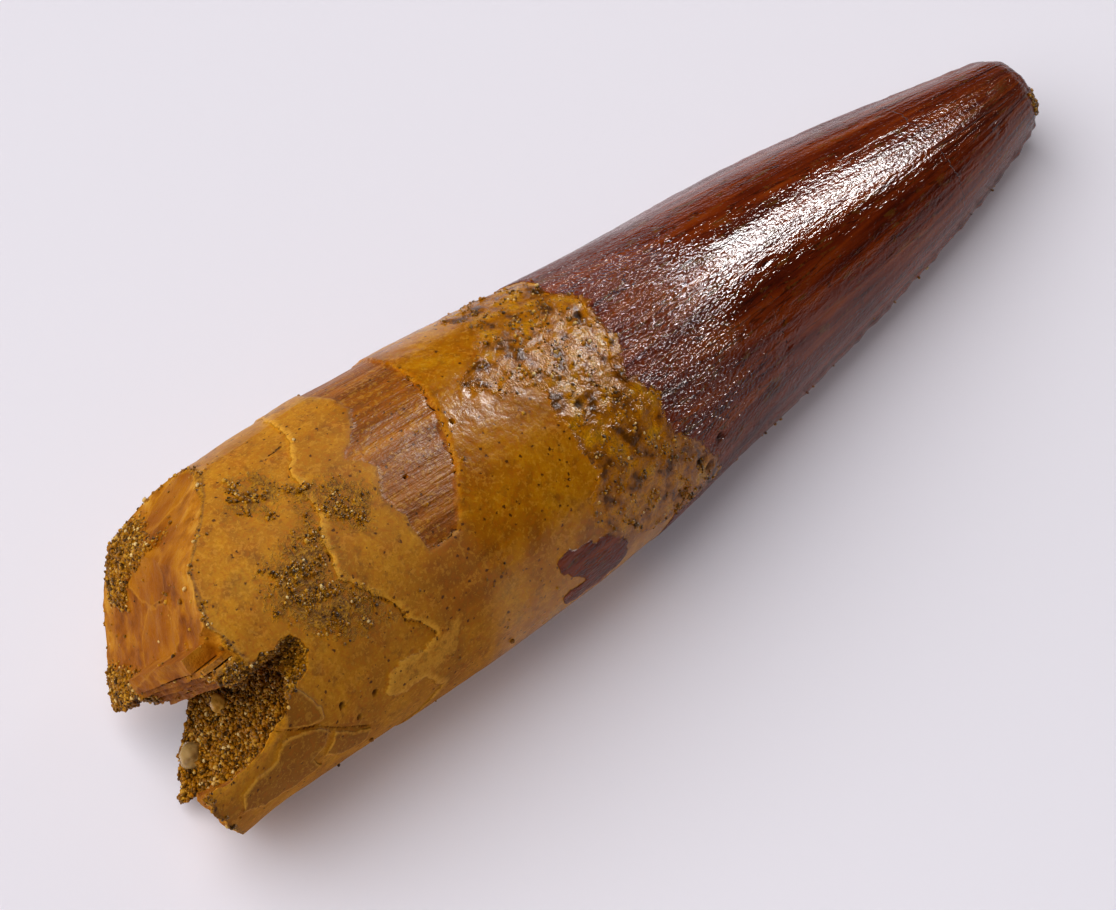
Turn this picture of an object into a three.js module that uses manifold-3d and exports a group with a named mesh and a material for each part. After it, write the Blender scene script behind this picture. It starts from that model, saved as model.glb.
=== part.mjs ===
// Fossil tooth of a large meat-eating dinosaur, lying on its side.
// An enamel crown grows out of a dentine root. The root end is broken off at a slant, and the break
// holds a plug of the sandstone that the tooth was buried in.
// Millimetres, +Z up. X runs along the tooth from the broken root (-X) to the tip (+X), and the
// origin is under the middle of the tooth, on the surface that it lies on.
//
// A place on the tooth is given by its station x and its angle round the tooth, in degrees: 0 is the
// top, 90 the -Y side, and -90 the +Y side.
import * as THREE from 'three';
import { mergeVertices } from 'three/addons/utils/BufferGeometryUtils.js';
import Module from 'manifold-3d';

const wasm = await Module();
wasm.setup();

// ---- driving dimensions ----

const ROOT_END = -41.8; // station of the longest splinter of the broken root
const TIP_END = 41.8; // station of the blunt tip
const TIP_ROUNDING = 1.6; // length over which the worn tip turns in
const TIP_FLAT = 0.7; // share of the section that the worn tip keeps
const TIP_TURNS = [25, 50, 70, 90]; // angles of the facets that the worn tip turns in by
const TIP_DOME = 0.07; // share of the rounding left for the dome of the worn face

// Sections from root to tip: station, half the width, and the sideways place of the centre.
const SECTIONS = [
  { x: -36, halfWidth: 10.2, side: 0.9 },
  { x: -25, halfWidth: 10.4, side: 0.25 },
  { x: -13, halfWidth: 10.05, side: -0.65 },
  { x: -3, halfWidth: 9.35, side: -1.1 },
  { x: 7, halfWidth: 8.2, side: -0.85 },
  { x: 17, halfWidth: 7.0, side: -0.55 },
  { x: 27, halfWidth: 5.55, side: -0.5 },
  { x: 35, halfWidth: 4.1, side: -0.3 },
  { x: 41, halfWidth: 2.8, side: 0.2 },
];

// How far the underside is lifted off the surface: the tooth lies on the middle of its length.
const UNDERSIDE = [
  { x: -36, lift: 0.5 },
  { x: -25, lift: 0.05 },
  { x: -13, lift: 0 },
  { x: 7, lift: 0 },
  { x: 17, lift: 0.1 },
  { x: 27, lift: 0.6 },
  { x: 35, lift: 1.1 },
  { x: 41, lift: 1.5 },
];

const FLATTENING = 0.89; // thickness of a section over its width
const ROLL = -62; // angle of the wide axis of every section
const REST_FACET = 0.3; // depth of the flat that the tooth lies on

// Surface relief.
const CARINA_HEIGHT = 0.3; // cutting edges along both sides of the crown
const CARINA_SPREAD = 7; // degrees
const CARINA_FADE = { from: 0, to: 15 }; // stations where they rise out of the crown
const FLUTES = 20; // shallow lengthwise ridges of the enamel
const FLUTE_HEIGHT = 0.07;
const FLUTE_FADE = 30; // station where they start to fade towards the tip
const ENAMEL_STEP = 0.16; // the enamel stands this much over the root
const ENAMEL_BEVEL = 0.6; // half the length of that step
const ENAMEL_EDGE = [
  { angle: -180, x: -7 },
  { angle: -110, x: -9.5 },
  { angle: -58, x: -9 },
  { angle: -25, x: -5.5 },
  { angle: 10, x: -4.5 },
  { angle: 45, x: -4.5 },
  { angle: 80, x: -6.5 },
  { angle: 125, x: -8 },
  { angle: 180, x: -7 },
];
const SCAR = { x: -18.5, angle: 18, length: 10, spread: 40, depth: 0.28 }; // outer layer gone here
const SCAR_EDGE = { inner: 0.85, outer: 1.1 }; // shares of its size between which it ends
const SWELL = { height: 0.12, longWave: 8.1, shortWave: 5.3 }; // slow unevenness of the tooth

// The break, by planes. Each is the station where it crosses the centre line, and how much it
// advances per millimetre to +Y and per millimetre up.
const BREAK_CENTRE_X = -35;
const UPPER_BREAK = { x: -36.8, perY: 0.45, perZ: 0.3 };
const CORNER_CHIP = { x: -47.2, perY: 1.4, perZ: 1.46 };
const NEAR_CHIP = { x: -39.4, perY: -0.38, perZ: 0.26 };
const LOWER_BREAK = { x: -38.2, perY: 0.31, perZ: -0.25 };
const LOWER_CHIP = { x: -41.1, perY: 0, perZ: -0.5 };

// The hollow runs across the break along a chord. Chord places are: along the chord, from the upper
// -Y side to the lower +Y side, and out from the centre line to the lower -Y side.
const CHORD_ANGLE = -142; // angle of the direction along the chord
const CHORD_OUT = 2.6; // where the upper break ends and the hollow begins
const HOLLOW = { x: -40.4, along: 2.6, out: 3.5, depth: 11, halfLength: 14, halfWidth: 3.6 };
const HOLLOW_LUMPS = { height: 0.35, size: 1.6 };
const HOLLOW_FACETS = { round: 28, along: 20 };
const LAYERS = [
  { along: -3.4, out: 0.0, top: -37.6, length: 11.5 },
  { along: -3.0, out: -0.7, top: -37.2, length: 9.5 },
  { along: -2.6, out: -1.4, top: -36.9, length: 8.0 },
];
const LAYER_THICKNESS = 0.6;
const LAYER_ROOT = -33.5; // station where the layers start, inside the tooth
const LAYER_RAGGED = { height: 0.35, size: 1.1, bend: 0.3, pieces: 4 };
const LAYER_INSIDE = 0.97; // share of the section that the layers reach

// The sandstone plug.
const CLEARANCE = 0.3;
const MATRIX_FACE = { x: -28.9, perOut: -1.06, perAlong: -0.2 };
const MATRIX_SUNK = 0.96; // share of the section that the plug reaches
const MATRIX_LUMPS = { height: 0.45, size: 0.9 };
const MATRIX_BLOCK = { out: 14, along: 24, outPieces: 10, alongPieces: 16 };
const PEBBLES = [
  { along: 5.2, out: 5.1, radius: 0.9 },
  { along: 2.8, out: 3.3, radius: 0.6 },
];
const PEBBLE_PROUD = 0.4; // share of its radius that a pebble's middle is off the face
const PEBBLE_FACETS = { round: 10, along: 7 };

const COLUMNS = 80; // facets round the tooth
const ROWS = 46; // facets along it
const FAR = 80; // larger than the tooth

// ---- the course of the tooth ----

const rad = THREE.MathUtils.degToRad;

/** A smooth curve through hand-set values, as a function of x or of an angle. */
function curveThrough(points, key, names) {
  const places = points.map((point) => point[key]);
  const values = points.flatMap((point) => names.map((name) => point[name]));
  return new THREE.CubicInterpolant(places, values, names.length);
}

const sectionCurve = curveThrough(SECTIONS, 'x', ['halfWidth', 'side']);
const liftCurve = curveThrough(UNDERSIDE, 'x', ['lift']);
const enamelCurve = curveThrough(ENAMEL_EDGE, 'angle', ['x']);

/** Distance from the centre of a rolled ellipse down to its lowest point. */
function reachDown(halfWidth) {
  return halfWidth * Math.hypot(Math.cos(rad(ROLL)), FLATTENING * Math.sin(rad(ROLL)));
}

/** Centre and half width of the section at a station. */
function sectionAt(x) {
  const [halfWidth, side] = sectionCurve.evaluate(x);
  const [lift] = liftCurve.evaluate(x);
  return { halfWidth, y: side, z: reachDown(halfWidth) - REST_FACET + lift };
}

/** Radius of the smooth section in the direction of an angle. */
function sectionRadius(halfWidth, angle) {
  const turned = rad(angle - ROLL);
  const thick = halfWidth * FLATTENING;
  return (halfWidth * thick) / Math.hypot(thick * Math.cos(turned), halfWidth * Math.sin(turned));
}

/** Signed difference between two angles, from -180 to 180. */
function angleFrom(angle, reference) {
  return THREE.MathUtils.euclideanModulo(angle - reference + 180, 360) - 180;
}

// ---- relief of the outer surface ----

/** 0 on the root and 1 on the enamel, with a short step between them. */
function enamelShare(x, angle) {
  const [edge] = enamelCurve.evaluate(angleFrom(angle, 0));
  return THREE.MathUtils.smoothstep(x - edge, -ENAMEL_BEVEL, ENAMEL_BEVEL);
}

/** The two cutting edges, which fade in on the crown. */
function carina(x, angle) {
  const off = Math.abs(angleFrom(2 * angle, 2 * ROLL)) / 2;
  const fade = THREE.MathUtils.smoothstep(x, CARINA_FADE.from, CARINA_FADE.to);
  return CARINA_HEIGHT * fade * Math.exp(-((off / CARINA_SPREAD) ** 2));
}

/** Shallow flutes along the enamel. */
function flutes(x, angle) {
  const fade = 1 - THREE.MathUtils.smoothstep(x, FLUTE_FADE, TIP_END);
  return FLUTE_HEIGHT * fade * Math.cos(FLUTES * rad(angle));
}

/** The patch of the root where the outer layer has flaked away. */
function scar(x, angle) {
  const along = Math.abs(x - SCAR.x) / (SCAR.length / 2);
  const round = Math.abs(angleFrom(angle, SCAR.angle)) / SCAR.spread;
  const away = THREE.MathUtils.smoothstep(Math.max(along, round), SCAR_EDGE.inner, SCAR_EDGE.outer);
  return -SCAR.depth * (1 - away);
}

/** Slow unevenness, so that no side is quite straight. */
function swell(x, angle) {
  const short = Math.sin(x / SWELL.shortWave + 2 * rad(angle));
  const long = Math.sin(x / SWELL.longWave - 3 * rad(angle) + 1);
  return (SWELL.height / 2) * (short + long);
}

/** Radius of the real surface at a station and an angle. */
function surfaceRadius(x, angle) {
  const { halfWidth } = sectionAt(x);
  const enamel = enamelShare(x, angle);
  const crown = enamel * flutes(x, angle) + (enamel - 0.5) * ENAMEL_STEP;
  const relief = crown + (1 - enamel) * scar(x, angle) + swell(x, angle) + carina(x, angle);
  return sectionRadius(halfWidth, angle) + relief;
}

// ---- solids ----

/** Turns a closed three.js geometry into a solid. */
function toSolid(geometry) {
  geometry.deleteAttribute('normal');
  geometry.deleteAttribute('uv');
  const merged = mergeVertices(geometry, 1e-4);
  const mesh = new wasm.Mesh({
    numProp: 3,
    vertProperties: new Float32Array(merged.attributes.position.array),
    triVerts: new Uint32Array(merged.index.array),
  });
  return new wasm.Manifold(mesh);
}

/** Turns a solid back into a three.js geometry. */
function toGeometry(solid) {
  const { vertProperties, triVerts } = solid.getMesh();
  const geometry = new THREE.BufferGeometry();
  geometry.setAttribute('position', new THREE.BufferAttribute(vertProperties, 3));
  geometry.setIndex(new THREE.BufferAttribute(triVerts, 1));
  geometry.computeVertexNormals();
  return geometry;
}

/** Moves every vertex of a geometry to where place(vertex) says. */
function reshape(geometry, place) {
  const position = geometry.attributes.position;
  const vertex = new THREE.Vector3();
  for (let i = 0; i < position.count; i += 1) {
    vertex.fromBufferAttribute(position, i);
    const moved = place(vertex);
    position.setXYZ(i, moved.x, moved.y, moved.z);
  }
  return geometry;
}

/** The whole tooth before it broke, its sections scaled by share. */
function wholeTooth(share) {
  const profile = [new THREE.Vector2(0, ROOT_END)];
  const shoulder = TIP_END - TIP_ROUNDING;
  for (let row = 0; row <= ROWS; row += 1) {
    profile.push(new THREE.Vector2(1, THREE.MathUtils.lerp(ROOT_END, shoulder, row / ROWS)));
  }
  for (const turn of TIP_TURNS) {
    const inward = 1 - (1 - TIP_FLAT) * (1 - Math.cos(rad(turn)));
    const onward = TIP_ROUNDING * (1 - TIP_DOME) * Math.sin(rad(turn));
    profile.push(new THREE.Vector2(inward, shoulder + onward));
  }
  profile.push(new THREE.Vector2(0, TIP_END));
  const lathe = new THREE.LatheGeometry(profile, COLUMNS);
  const placed = reshape(lathe, (vertex) => {
    const x = vertex.y;
    const angle = THREE.MathUtils.radToDeg(Math.atan2(vertex.x, vertex.z));
    const radius = Math.hypot(vertex.x, vertex.z) * share * surfaceRadius(x, angle);
    const { y, z } = sectionAt(x);
    return new THREE.Vector3(x, y - radius * Math.sin(rad(angle)), z + radius * Math.cos(rad(angle)));
  });
  return toSolid(placed);
}

/** Everything on the -X side of a slanting plane of the break. */
function beyondPlane({ x, perY, perZ }) {
  const centre = sectionAt(BREAK_CENTRE_X);
  const normal = new THREE.Vector3(1, -perY, -perZ).normalize();
  const box = new THREE.BoxGeometry(FAR, 2 * FAR, 2 * FAR);
  box.translate(-FAR / 2, 0, 0);
  box.applyQuaternion(new THREE.Quaternion().setFromUnitVectors(new THREE.Vector3(1, 0, 0), normal));
  box.translate(x, centre.y, centre.z);
  return toSolid(box);
}

/** The direction across the tooth at an angle round it. */
function direction(angle) {
  return new THREE.Vector3(0, -Math.sin(rad(angle)), Math.cos(rad(angle)));
}

/** Turns a geometry drawn in chord places (x, out, along) into the tooth's frame. */
function fromChord(geometry) {
  const centre = sectionAt(BREAK_CENTRE_X);
  const along = direction(CHORD_ANGLE);
  const out = direction(CHORD_ANGLE - 90);
  return reshape(geometry, ({ x, y, z }) => new THREE.Vector3(x, centre.y, centre.z)
    .addScaledVector(out, y)
    .addScaledVector(along, z));
}

/** Small uneven lumps, from -1 to 1, by place. */
function lumps({ x, y, z }, size) {
  const a = Math.sin((x + 0.6 * y) / size + 1.3) * Math.cos((z - 0.4 * x) / size);
  const b = Math.sin((1.7 * y - z) / size) * Math.cos((1.3 * x + 0.8 * z) / size + 0.7);
  return 0.6 * a + 0.4 * b;
}

/** The hollow as a lumpy ellipsoid, made smaller all round by inset. */
function hollowBlob(inset) {
  const ball = new THREE.SphereGeometry(1, HOLLOW_FACETS.round, HOLLOW_FACETS.along);
  const size = new THREE.Vector3(HOLLOW.depth, HOLLOW.halfWidth, HOLLOW.halfLength).subScalar(inset);
  reshape(ball, (vertex) => {
    const spot = vertex.clone().multiply(size);
    const unevenness = HOLLOW_LUMPS.height * lumps(spot, HOLLOW_LUMPS.size);
    const middle = new THREE.Vector3(HOLLOW.x, HOLLOW.out, HOLLOW.along);
    return spot.addScaledVector(vertex, unevenness).add(middle);
  });
  return toSolid(fromChord(ball));
}

/** The part of space on the upper side of the chord. */
function aboveChord() {
  const box = new THREE.BoxGeometry(2 * FAR, FAR, 2 * FAR);
  box.translate(0, CHORD_OUT - FAR / 2, 0);
  return toSolid(fromChord(box));
}

/** One layer of dentine that stands out of the break beside the hollow. */
function dentineLayer({ along, out, top, length }) {
  const { height, size, bend, pieces } = LAYER_RAGGED;
  const middle = (LAYER_ROOT + top) / 2;
  const plate = new THREE.BoxGeometry(LAYER_ROOT - top, LAYER_THICKNESS, length, 1, 1, pieces);
  plate.translate(middle, out, along);
  reshape(plate, (vertex) => {
    const ragged = vertex.x < middle ? height * lumps(vertex, size) : 0;
    return new THREE.Vector3(vertex.x + ragged, vertex.y + bend * ragged, vertex.z);
  });
  return toSolid(fromChord(plate));
}

/** A block under the surface that the tooth lies on. */
function underSurface() {
  const block = new THREE.BoxGeometry(2 * FAR, 2 * FAR, FAR);
  block.translate(0, 0, -FAR / 2);
  return toSolid(block);
}

/** The tooth: crown and root in one, with the break and its hollow. */
function toothSolid() {
  let tooth = wholeTooth(1)
    .subtract(beyondPlane(UPPER_BREAK).intersect(aboveChord()))
    .subtract(beyondPlane(LOWER_BREAK).subtract(aboveChord()))
    .subtract(beyondPlane(LOWER_CHIP).subtract(aboveChord()))
    .subtract(beyondPlane(CORNER_CHIP))
    .subtract(beyondPlane(NEAR_CHIP).intersect(aboveChord()))
    .subtract(hollowBlob(0));
  for (const layer of LAYERS) {
    tooth = tooth.add(dentineLayer(layer).intersect(wholeTooth(LAYER_INSIDE)));
  }
  return tooth.subtract(underSurface());
}

/** Station of the sandstone's face at a place across the break. */
function matrixFace(out, along) {
  return MATRIX_FACE.x + MATRIX_FACE.perOut * out + MATRIX_FACE.perAlong * along;
}

/** The sandstone left in the hollow, with the larger pebbles in its face. */
function matrixSolid() {
  const { out: width, along: length, outPieces, alongPieces } = MATRIX_BLOCK;
  const block = new THREE.BoxGeometry(FAR, width, length, 1, outPieces, alongPieces);
  reshape(block, (vertex) => {
    const out = vertex.y + HOLLOW.out;
    const uneven = MATRIX_LUMPS.height * lumps(vertex, MATRIX_LUMPS.size);
    const x = vertex.x < 0 ? matrixFace(out, vertex.z) + uneven : FAR;
    return new THREE.Vector3(x, out, vertex.z);
  });
  let plug = toSolid(fromChord(block)).intersect(hollowBlob(CLEARANCE));
  for (const { along, out, radius } of PEBBLES) {
    const pebble = new THREE.SphereGeometry(radius, PEBBLE_FACETS.round, PEBBLE_FACETS.along);
    pebble.translate(matrixFace(out, along) - PEBBLE_PROUD * radius, out, along);
    plug = plug.add(toSolid(fromChord(pebble)));
  }
  return plug.intersect(wholeTooth(MATRIX_SUNK)).intersect(hollowBlob(CLEARANCE));
}

// ---- the object ----

function addPiece(group, name, solid, material) {
  const mesh = new THREE.Mesh(toGeometry(solid), material);
  mesh.name = name;
  group.add(mesh);
}

const mineralisedTooth = new THREE.MeshStandardMaterial({ color: 0x9a5a1c, roughness: 0.35, metalness: 0 });
const sandstone = new THREE.MeshStandardMaterial({ color: 0x6e5426, roughness: 0.9, metalness: 0 });

const fossilTooth = new THREE.Group();
fossilTooth.name = 'fossil_tooth';
addPiece(fossilTooth, 'tooth', toothSolid(), mineralisedTooth);
addPiece(fossilTooth, 'matrix', matrixSolid(), sandstone);

export default fossilTooth;
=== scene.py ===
"""Looks of a fossil dinosaur tooth that lies on its side, built round its solid part.

A wrinkled enamel crown grows out of a flaked dentine root. The root end is broken off, with
sandstone in the hollow of the break and sand stuck to the root. Until a mesh is made, sizes
are in millimetres and angles in degrees. X runs along the tooth from the root to the tip,
and an angle round the tooth is 0 at the top, 90 on the -Y side and -90 on the +Y side.
"""

import logging
import math
from collections.abc import Callable, Sequence
from dataclasses import dataclass, field, replace
from enum import Enum, IntEnum

import bmesh
import bpy
import numpy as np
from mathutils import Matrix, Vector


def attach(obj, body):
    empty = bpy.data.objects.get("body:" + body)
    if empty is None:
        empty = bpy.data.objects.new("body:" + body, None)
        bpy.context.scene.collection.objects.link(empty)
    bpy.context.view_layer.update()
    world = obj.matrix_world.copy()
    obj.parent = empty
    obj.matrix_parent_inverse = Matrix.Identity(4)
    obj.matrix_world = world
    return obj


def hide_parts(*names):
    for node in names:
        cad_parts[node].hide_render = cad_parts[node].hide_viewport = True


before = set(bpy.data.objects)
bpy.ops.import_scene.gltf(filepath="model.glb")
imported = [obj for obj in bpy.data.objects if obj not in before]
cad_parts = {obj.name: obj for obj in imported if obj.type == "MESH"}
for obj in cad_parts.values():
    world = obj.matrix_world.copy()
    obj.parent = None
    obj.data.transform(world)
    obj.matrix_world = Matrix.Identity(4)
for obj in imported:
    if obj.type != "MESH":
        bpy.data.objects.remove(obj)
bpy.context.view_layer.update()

Array = np.ndarray
Outline = tuple[tuple[float, float], ...]
Stops = Sequence[tuple[float, str]]

MM = 0.001  # metres in a millimetre
IMAGE_WIDTH = 1116  # picture elements across the frame
SKIN_RADIUS = 9.0  # radius at which degrees round the tooth are turned into millimetres
DEGREE = math.radians(1.0) * SKIN_RADIUS  # millimetres in a degree round the tooth there
TINY = 1e-9
FAR = 9.0  # a distance past the reach of every mark, in millimetres

log = logging.getLogger("fossil_tooth")


class Join(Enum):
    """How one solid changes another."""

    CUT = "DIFFERENCE"
    ADD = "UNION"
    TRIM = "INTERSECT"


class Half(Enum):
    """Which side of the hollow's edge a fracture plane cuts."""

    ABOVE = "above"
    BELOW = "below"
    BOTH = "both"


class Slot(Enum):
    """Material slots of the part."""

    TOOTH = "tooth"
    MATRIX = "matrix"


class Seed(IntEnum):
    """Seeds of the random patterns, one for each use."""

    RIDGES = 3
    WRINKLES = 5
    STRIAE = 7
    CARINA = 9
    OUTLINES = 11
    SWELLS = 13
    PORES = 17
    TIP = 19
    CRUST = 23
    CAKED_SAND = 29
    RIM_GRAINS = 31
    POWDER = 37
    LIP = 39
    HOLLOW = 47
    ROCK = 51
    ROCK_GRAINS = 53
    ROCK_LUMPS = 55
    PEBBLE = 71
    PATCHES = 83
    SAND_ON_TOOTH = 91
    SAND_IN_BREAK = 92


# ---- small mathematics ----


def fade(value: Array, low: float, high: float) -> Array:
    """Rises smoothly from 0 at low to 1 at high, or falls where low is the larger."""
    share = np.clip((value - low) / (high - low), 0.0, 1.0)
    return share * share * (3.0 - 2.0 * share)


def angle_from(angle: Array, reference: float) -> Array:
    """Signed difference between two angles in degrees, from -180 to 180."""
    return (angle - reference + 180.0) % 360.0 - 180.0


def curve(places: Sequence[float], values: Sequence[float], at: Array) -> Array:
    """Smooth curve through given values, level beyond its ends.

    Args:
        places: rising places of the values.
        values: the values there.
        at: places to read the curve at.

    Returns:
        The curve's value at each place.
    """
    px, py = np.asarray(places, float), np.asarray(values, float)
    slopes = np.diff(py) / np.diff(px)
    tangents = np.concatenate([slopes[:1], (slopes[:-1] + slopes[1:]) / 2.0, slopes[-1:]])
    at = np.clip(at, px[0], px[-1])
    i = np.clip(np.searchsorted(px, at, side="right") - 1, 0, len(px) - 2)
    gap = px[i + 1] - px[i]
    t = (at - px[i]) / gap
    start = (1 + 2 * t) * (1 - t) ** 2 * py[i] + t * (1 - t) ** 2 * gap * tangents[i]
    return start + t * t * (3 - 2 * t) * py[i + 1] + t * t * (t - 1) * gap * tangents[i + 1]


@dataclass(frozen=True)
class Noise:
    """Seeded smooth noise in space, from about -1 to 1.

    Layers are added to it, each half as coarse as the last and weaker by the gain.
    """

    seed: int
    size: float  # distance from one swell of the coarsest layer to the next
    layers: int = 1
    gain: float = 0.5
    stretch: float = 1.0  # how much longer its swells are along the tooth
    table_size: int = 4096
    mixers: tuple[int, int, int] = (73856093, 19349663, 83492791)  # primes that scatter cells
    mixing_shift: int = 13
    layer_shift: float = 17.0  # how far the layers are apart in the pattern, in their own sizes
    height: float = 1.6  # brings the swells to about 1
    grain_stray: float = 0.4  # how far a grain is from the middle of its cell
    grain_reach: float = 0.75  # radius of a grain in cells

    def at(self, points: Array) -> Array:
        """The noise at places.

        Args:
            points: places, one row each.

        Returns:
            One value for each place.
        """
        spots = np.asarray(points, float) / (self.stretch, 1.0, 1.0)
        total = np.zeros(len(spots))
        for layer in range(self.layers):
            shift = self.layer_shift * layer * self.size
            total += self.gain**layer * self._swells(spots + shift, self.size / 2**layer)
        return total

    def lumps(self, points: Array) -> Array:
        """Rounded grains packed together: 1 at the middle of a grain and 0 at its edge.

        Args:
            points: places, one row each.

        Returns:
            Height of the grain at each place, as a share of its size.
        """
        scaled = np.asarray(points, float) / self.size
        low = np.floor(scaled).astype(np.int64)
        nearest = np.full(len(scaled), np.inf)
        for neighbour in np.ndindex(3, 3, 3):
            cell = low + np.array(neighbour) - 1
            centre = cell + 0.5 + self.grain_stray * self._corner(cell)
            nearest = np.minimum(nearest, np.linalg.norm(scaled - centre, axis=1))
        return np.sqrt(np.clip(1.0 - (nearest / self.grain_reach) ** 2, 0.0, 1.0))

    def _corner(self, cell: Array) -> Array:
        """A random direction for each whole-numbered cell corner.

        Args:
            cell: the corners, one row each.

        Returns:
            Directions of length 1, one row each.
        """
        table = np.random.default_rng(self.seed).normal(size=(self.table_size, 3))
        table /= np.linalg.norm(table, axis=1, keepdims=True)
        mixed = cell @ np.array(self.mixers, dtype=np.int64)
        return table[(mixed ^ (mixed >> self.mixing_shift)) % self.table_size]

    def _swells(self, spots: Array, size: float) -> Array:
        """One layer of the noise.

        Args:
            spots: places, one row each.
            size: distance from one swell to the next.

        Returns:
            One value for each place.
        """
        scaled = spots / size
        low = np.floor(scaled).astype(np.int64)
        part = scaled - low
        ease = part**3 * (part * (part * 6 - 15) + 10)
        total = np.zeros(len(scaled))
        for corner in np.ndindex(2, 2, 2):
            step = np.array(corner)
            weight = np.prod(np.where(step, ease, 1 - ease), axis=1)
            total += weight * np.sum(self._corner(low + step) * (part - step), axis=1)
        return self.height * total


def to_line(points: Array, line: Array | Outline, closed: bool) -> tuple[Array, Array]:
    """Distance from points in a plane to a line of straight pieces.

    Args:
        points: places in the plane, one row each.
        line: corners of the line, one row each.
        closed: whether the last corner joins the first.

    Returns:
        The distance, and whether each point is inside the closed line.
    """
    corners = np.asarray(line, float)
    ends = np.roll(corners, -1, axis=0)
    pairs = list(zip(corners, ends, strict=True))
    nearest = np.full(len(points), np.inf)
    inside = np.zeros(len(points), bool)
    for start, end in pairs if closed else pairs[:-1]:
        run = end - start
        share = np.clip((points - start) @ run / max(run @ run, TINY), 0.0, 1.0)
        foot = start + share[:, None] * run
        nearest = np.minimum(nearest, np.linalg.norm(points - foot, axis=1))
        crosses = (start[1] > points[:, 1]) != (end[1] > points[:, 1])
        rise = end[1] - start[1] if end[1] != start[1] else 1.0
        reach = start[0] + run[0] * (points[:, 1] - start[1]) / rise
        inside ^= crosses & (points[:, 0] < reach)
    return nearest, inside


def unrolled(x: Array, angle: Array) -> Array:
    """Places on the skin, laid out flat in millimetres."""
    return np.column_stack([x, angle * DEGREE])


def rolled(x: Array, angle: Array, stretch: float = 1.0) -> Array:
    """Places on a cylinder of the skin's usual radius, where patterns of the skin are read.

    Args:
        x: stations.
        angle: angles round the tooth.
        stretch: how much the stations are drawn together.

    Returns:
        The places, one row each.
    """
    turn = np.radians(angle)
    return SKIN_RADIUS * np.column_stack([x / SKIN_RADIUS / stretch, np.sin(turn), np.cos(turn)])


def within(x: Array, angle: Array, outline: Outline) -> Array:
    """How far places on the skin are inside an outline, in millimetres.

    Args:
        x: stations.
        angle: angles round the tooth.
        outline: corners as (station, angle).

    Returns:
        Distance to the outline, positive inside it and negative outside.
    """
    distance, inside = to_line(unrolled(x, angle), unrolled(*np.transpose(outline)), closed=True)
    return np.where(inside, distance, -distance)


def beside(x: Array, angle: Array, line: Outline) -> Array:
    """Distance in millimetres from places on the skin to an open line of (station, angle)."""
    return to_line(unrolled(x, angle), unrolled(*np.transpose(line)), closed=False)[0]


# ---- meshes ----


@dataclass
class Shell:
    """A closed surface in millimetres, before it becomes a mesh."""

    points: Array
    faces: list[tuple[int, ...]] | Array

    def to_object(self, name: str, scale: float = 1.0) -> bpy.types.Object:
        """Makes a mesh object.

        Args:
            name: name of the object and its mesh.
            scale: what the coordinates are multiplied by.

        Returns:
            The object, in the scene.
        """
        mesh = bpy.data.meshes.new(name)
        mesh.from_pydata(self.points * scale, [], self.faces)
        mesh.validate()
        made = bpy.data.objects.new(name, mesh)
        bpy.context.scene.collection.objects.link(made)
        return made


def combine(body: bpy.types.Object, tool: bpy.types.Object, how: Join) -> None:
    """Cuts, joins or trims a solid with another, which is used up.

    Args:
        body: the solid to change.
        tool: the other solid, which is removed afterwards.
        how: what the tool does to the body.
    """
    change = body.modifiers.new("change", "BOOLEAN")
    change.operation = how.value
    change.solver = "MANIFOLD"
    change.object = tool
    depsgraph = bpy.context.evaluated_depsgraph_get()
    result = bpy.data.meshes.new_from_object(body.evaluated_get(depsgraph))
    body.modifiers.clear()
    spent = [body.data, tool.data]
    body.data = result
    bpy.data.objects.remove(tool)
    for mesh in spent:
        bpy.data.meshes.remove(mesh)


def places_of(mesh: bpy.types.Mesh) -> Array:
    """Places of a mesh's vertices, one row each."""
    return _per_vertex(mesh, mesh.vertices, "co", 3)


def normals_of(mesh: bpy.types.Mesh) -> Array:
    """Directions that a mesh's vertices face, one row each."""
    return _per_vertex(mesh, mesh.vertex_normals, "vector", 3)


def read(mesh: bpy.types.Mesh, name: str) -> Array:
    """The numbers stored for every vertex under a name."""
    return _per_vertex(mesh, mesh.attributes[name].data, "value", 1)[:, 0]


def _per_vertex(mesh: bpy.types.Mesh, holder: object, name: str, width: int) -> Array:
    """Reads numbers that a mesh holds for every vertex.

    Args:
        mesh: the mesh.
        holder: where it holds them.
        name: what they are called there.
        width: how many there are for each vertex.

    Returns:
        The numbers, one row for each vertex.
    """
    values = np.empty(len(mesh.vertices) * width, dtype=np.float32)
    holder.foreach_get(name, values)
    return values.reshape(-1, width).astype(float)


def set_places(mesh: bpy.types.Mesh, points: Array) -> None:
    """Moves every vertex of a mesh."""
    mesh.vertices.foreach_set("co", points.astype(np.float32).ravel())
    mesh.update()


def give(mesh: bpy.types.Mesh, name: str, values: Array) -> None:
    """Stores one number or one vector for every vertex of a mesh, for its material to read.

    Args:
        mesh: the mesh.
        name: what the material calls them.
        values: the numbers, or the vectors one row each.
    """
    kind, part = ("FLOAT_VECTOR", "vector") if values.ndim == 2 else ("FLOAT", "value")
    layer = mesh.attributes.new(name, kind, "POINT")
    layer.data.foreach_set(part, values.astype(np.float32).ravel())


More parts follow.
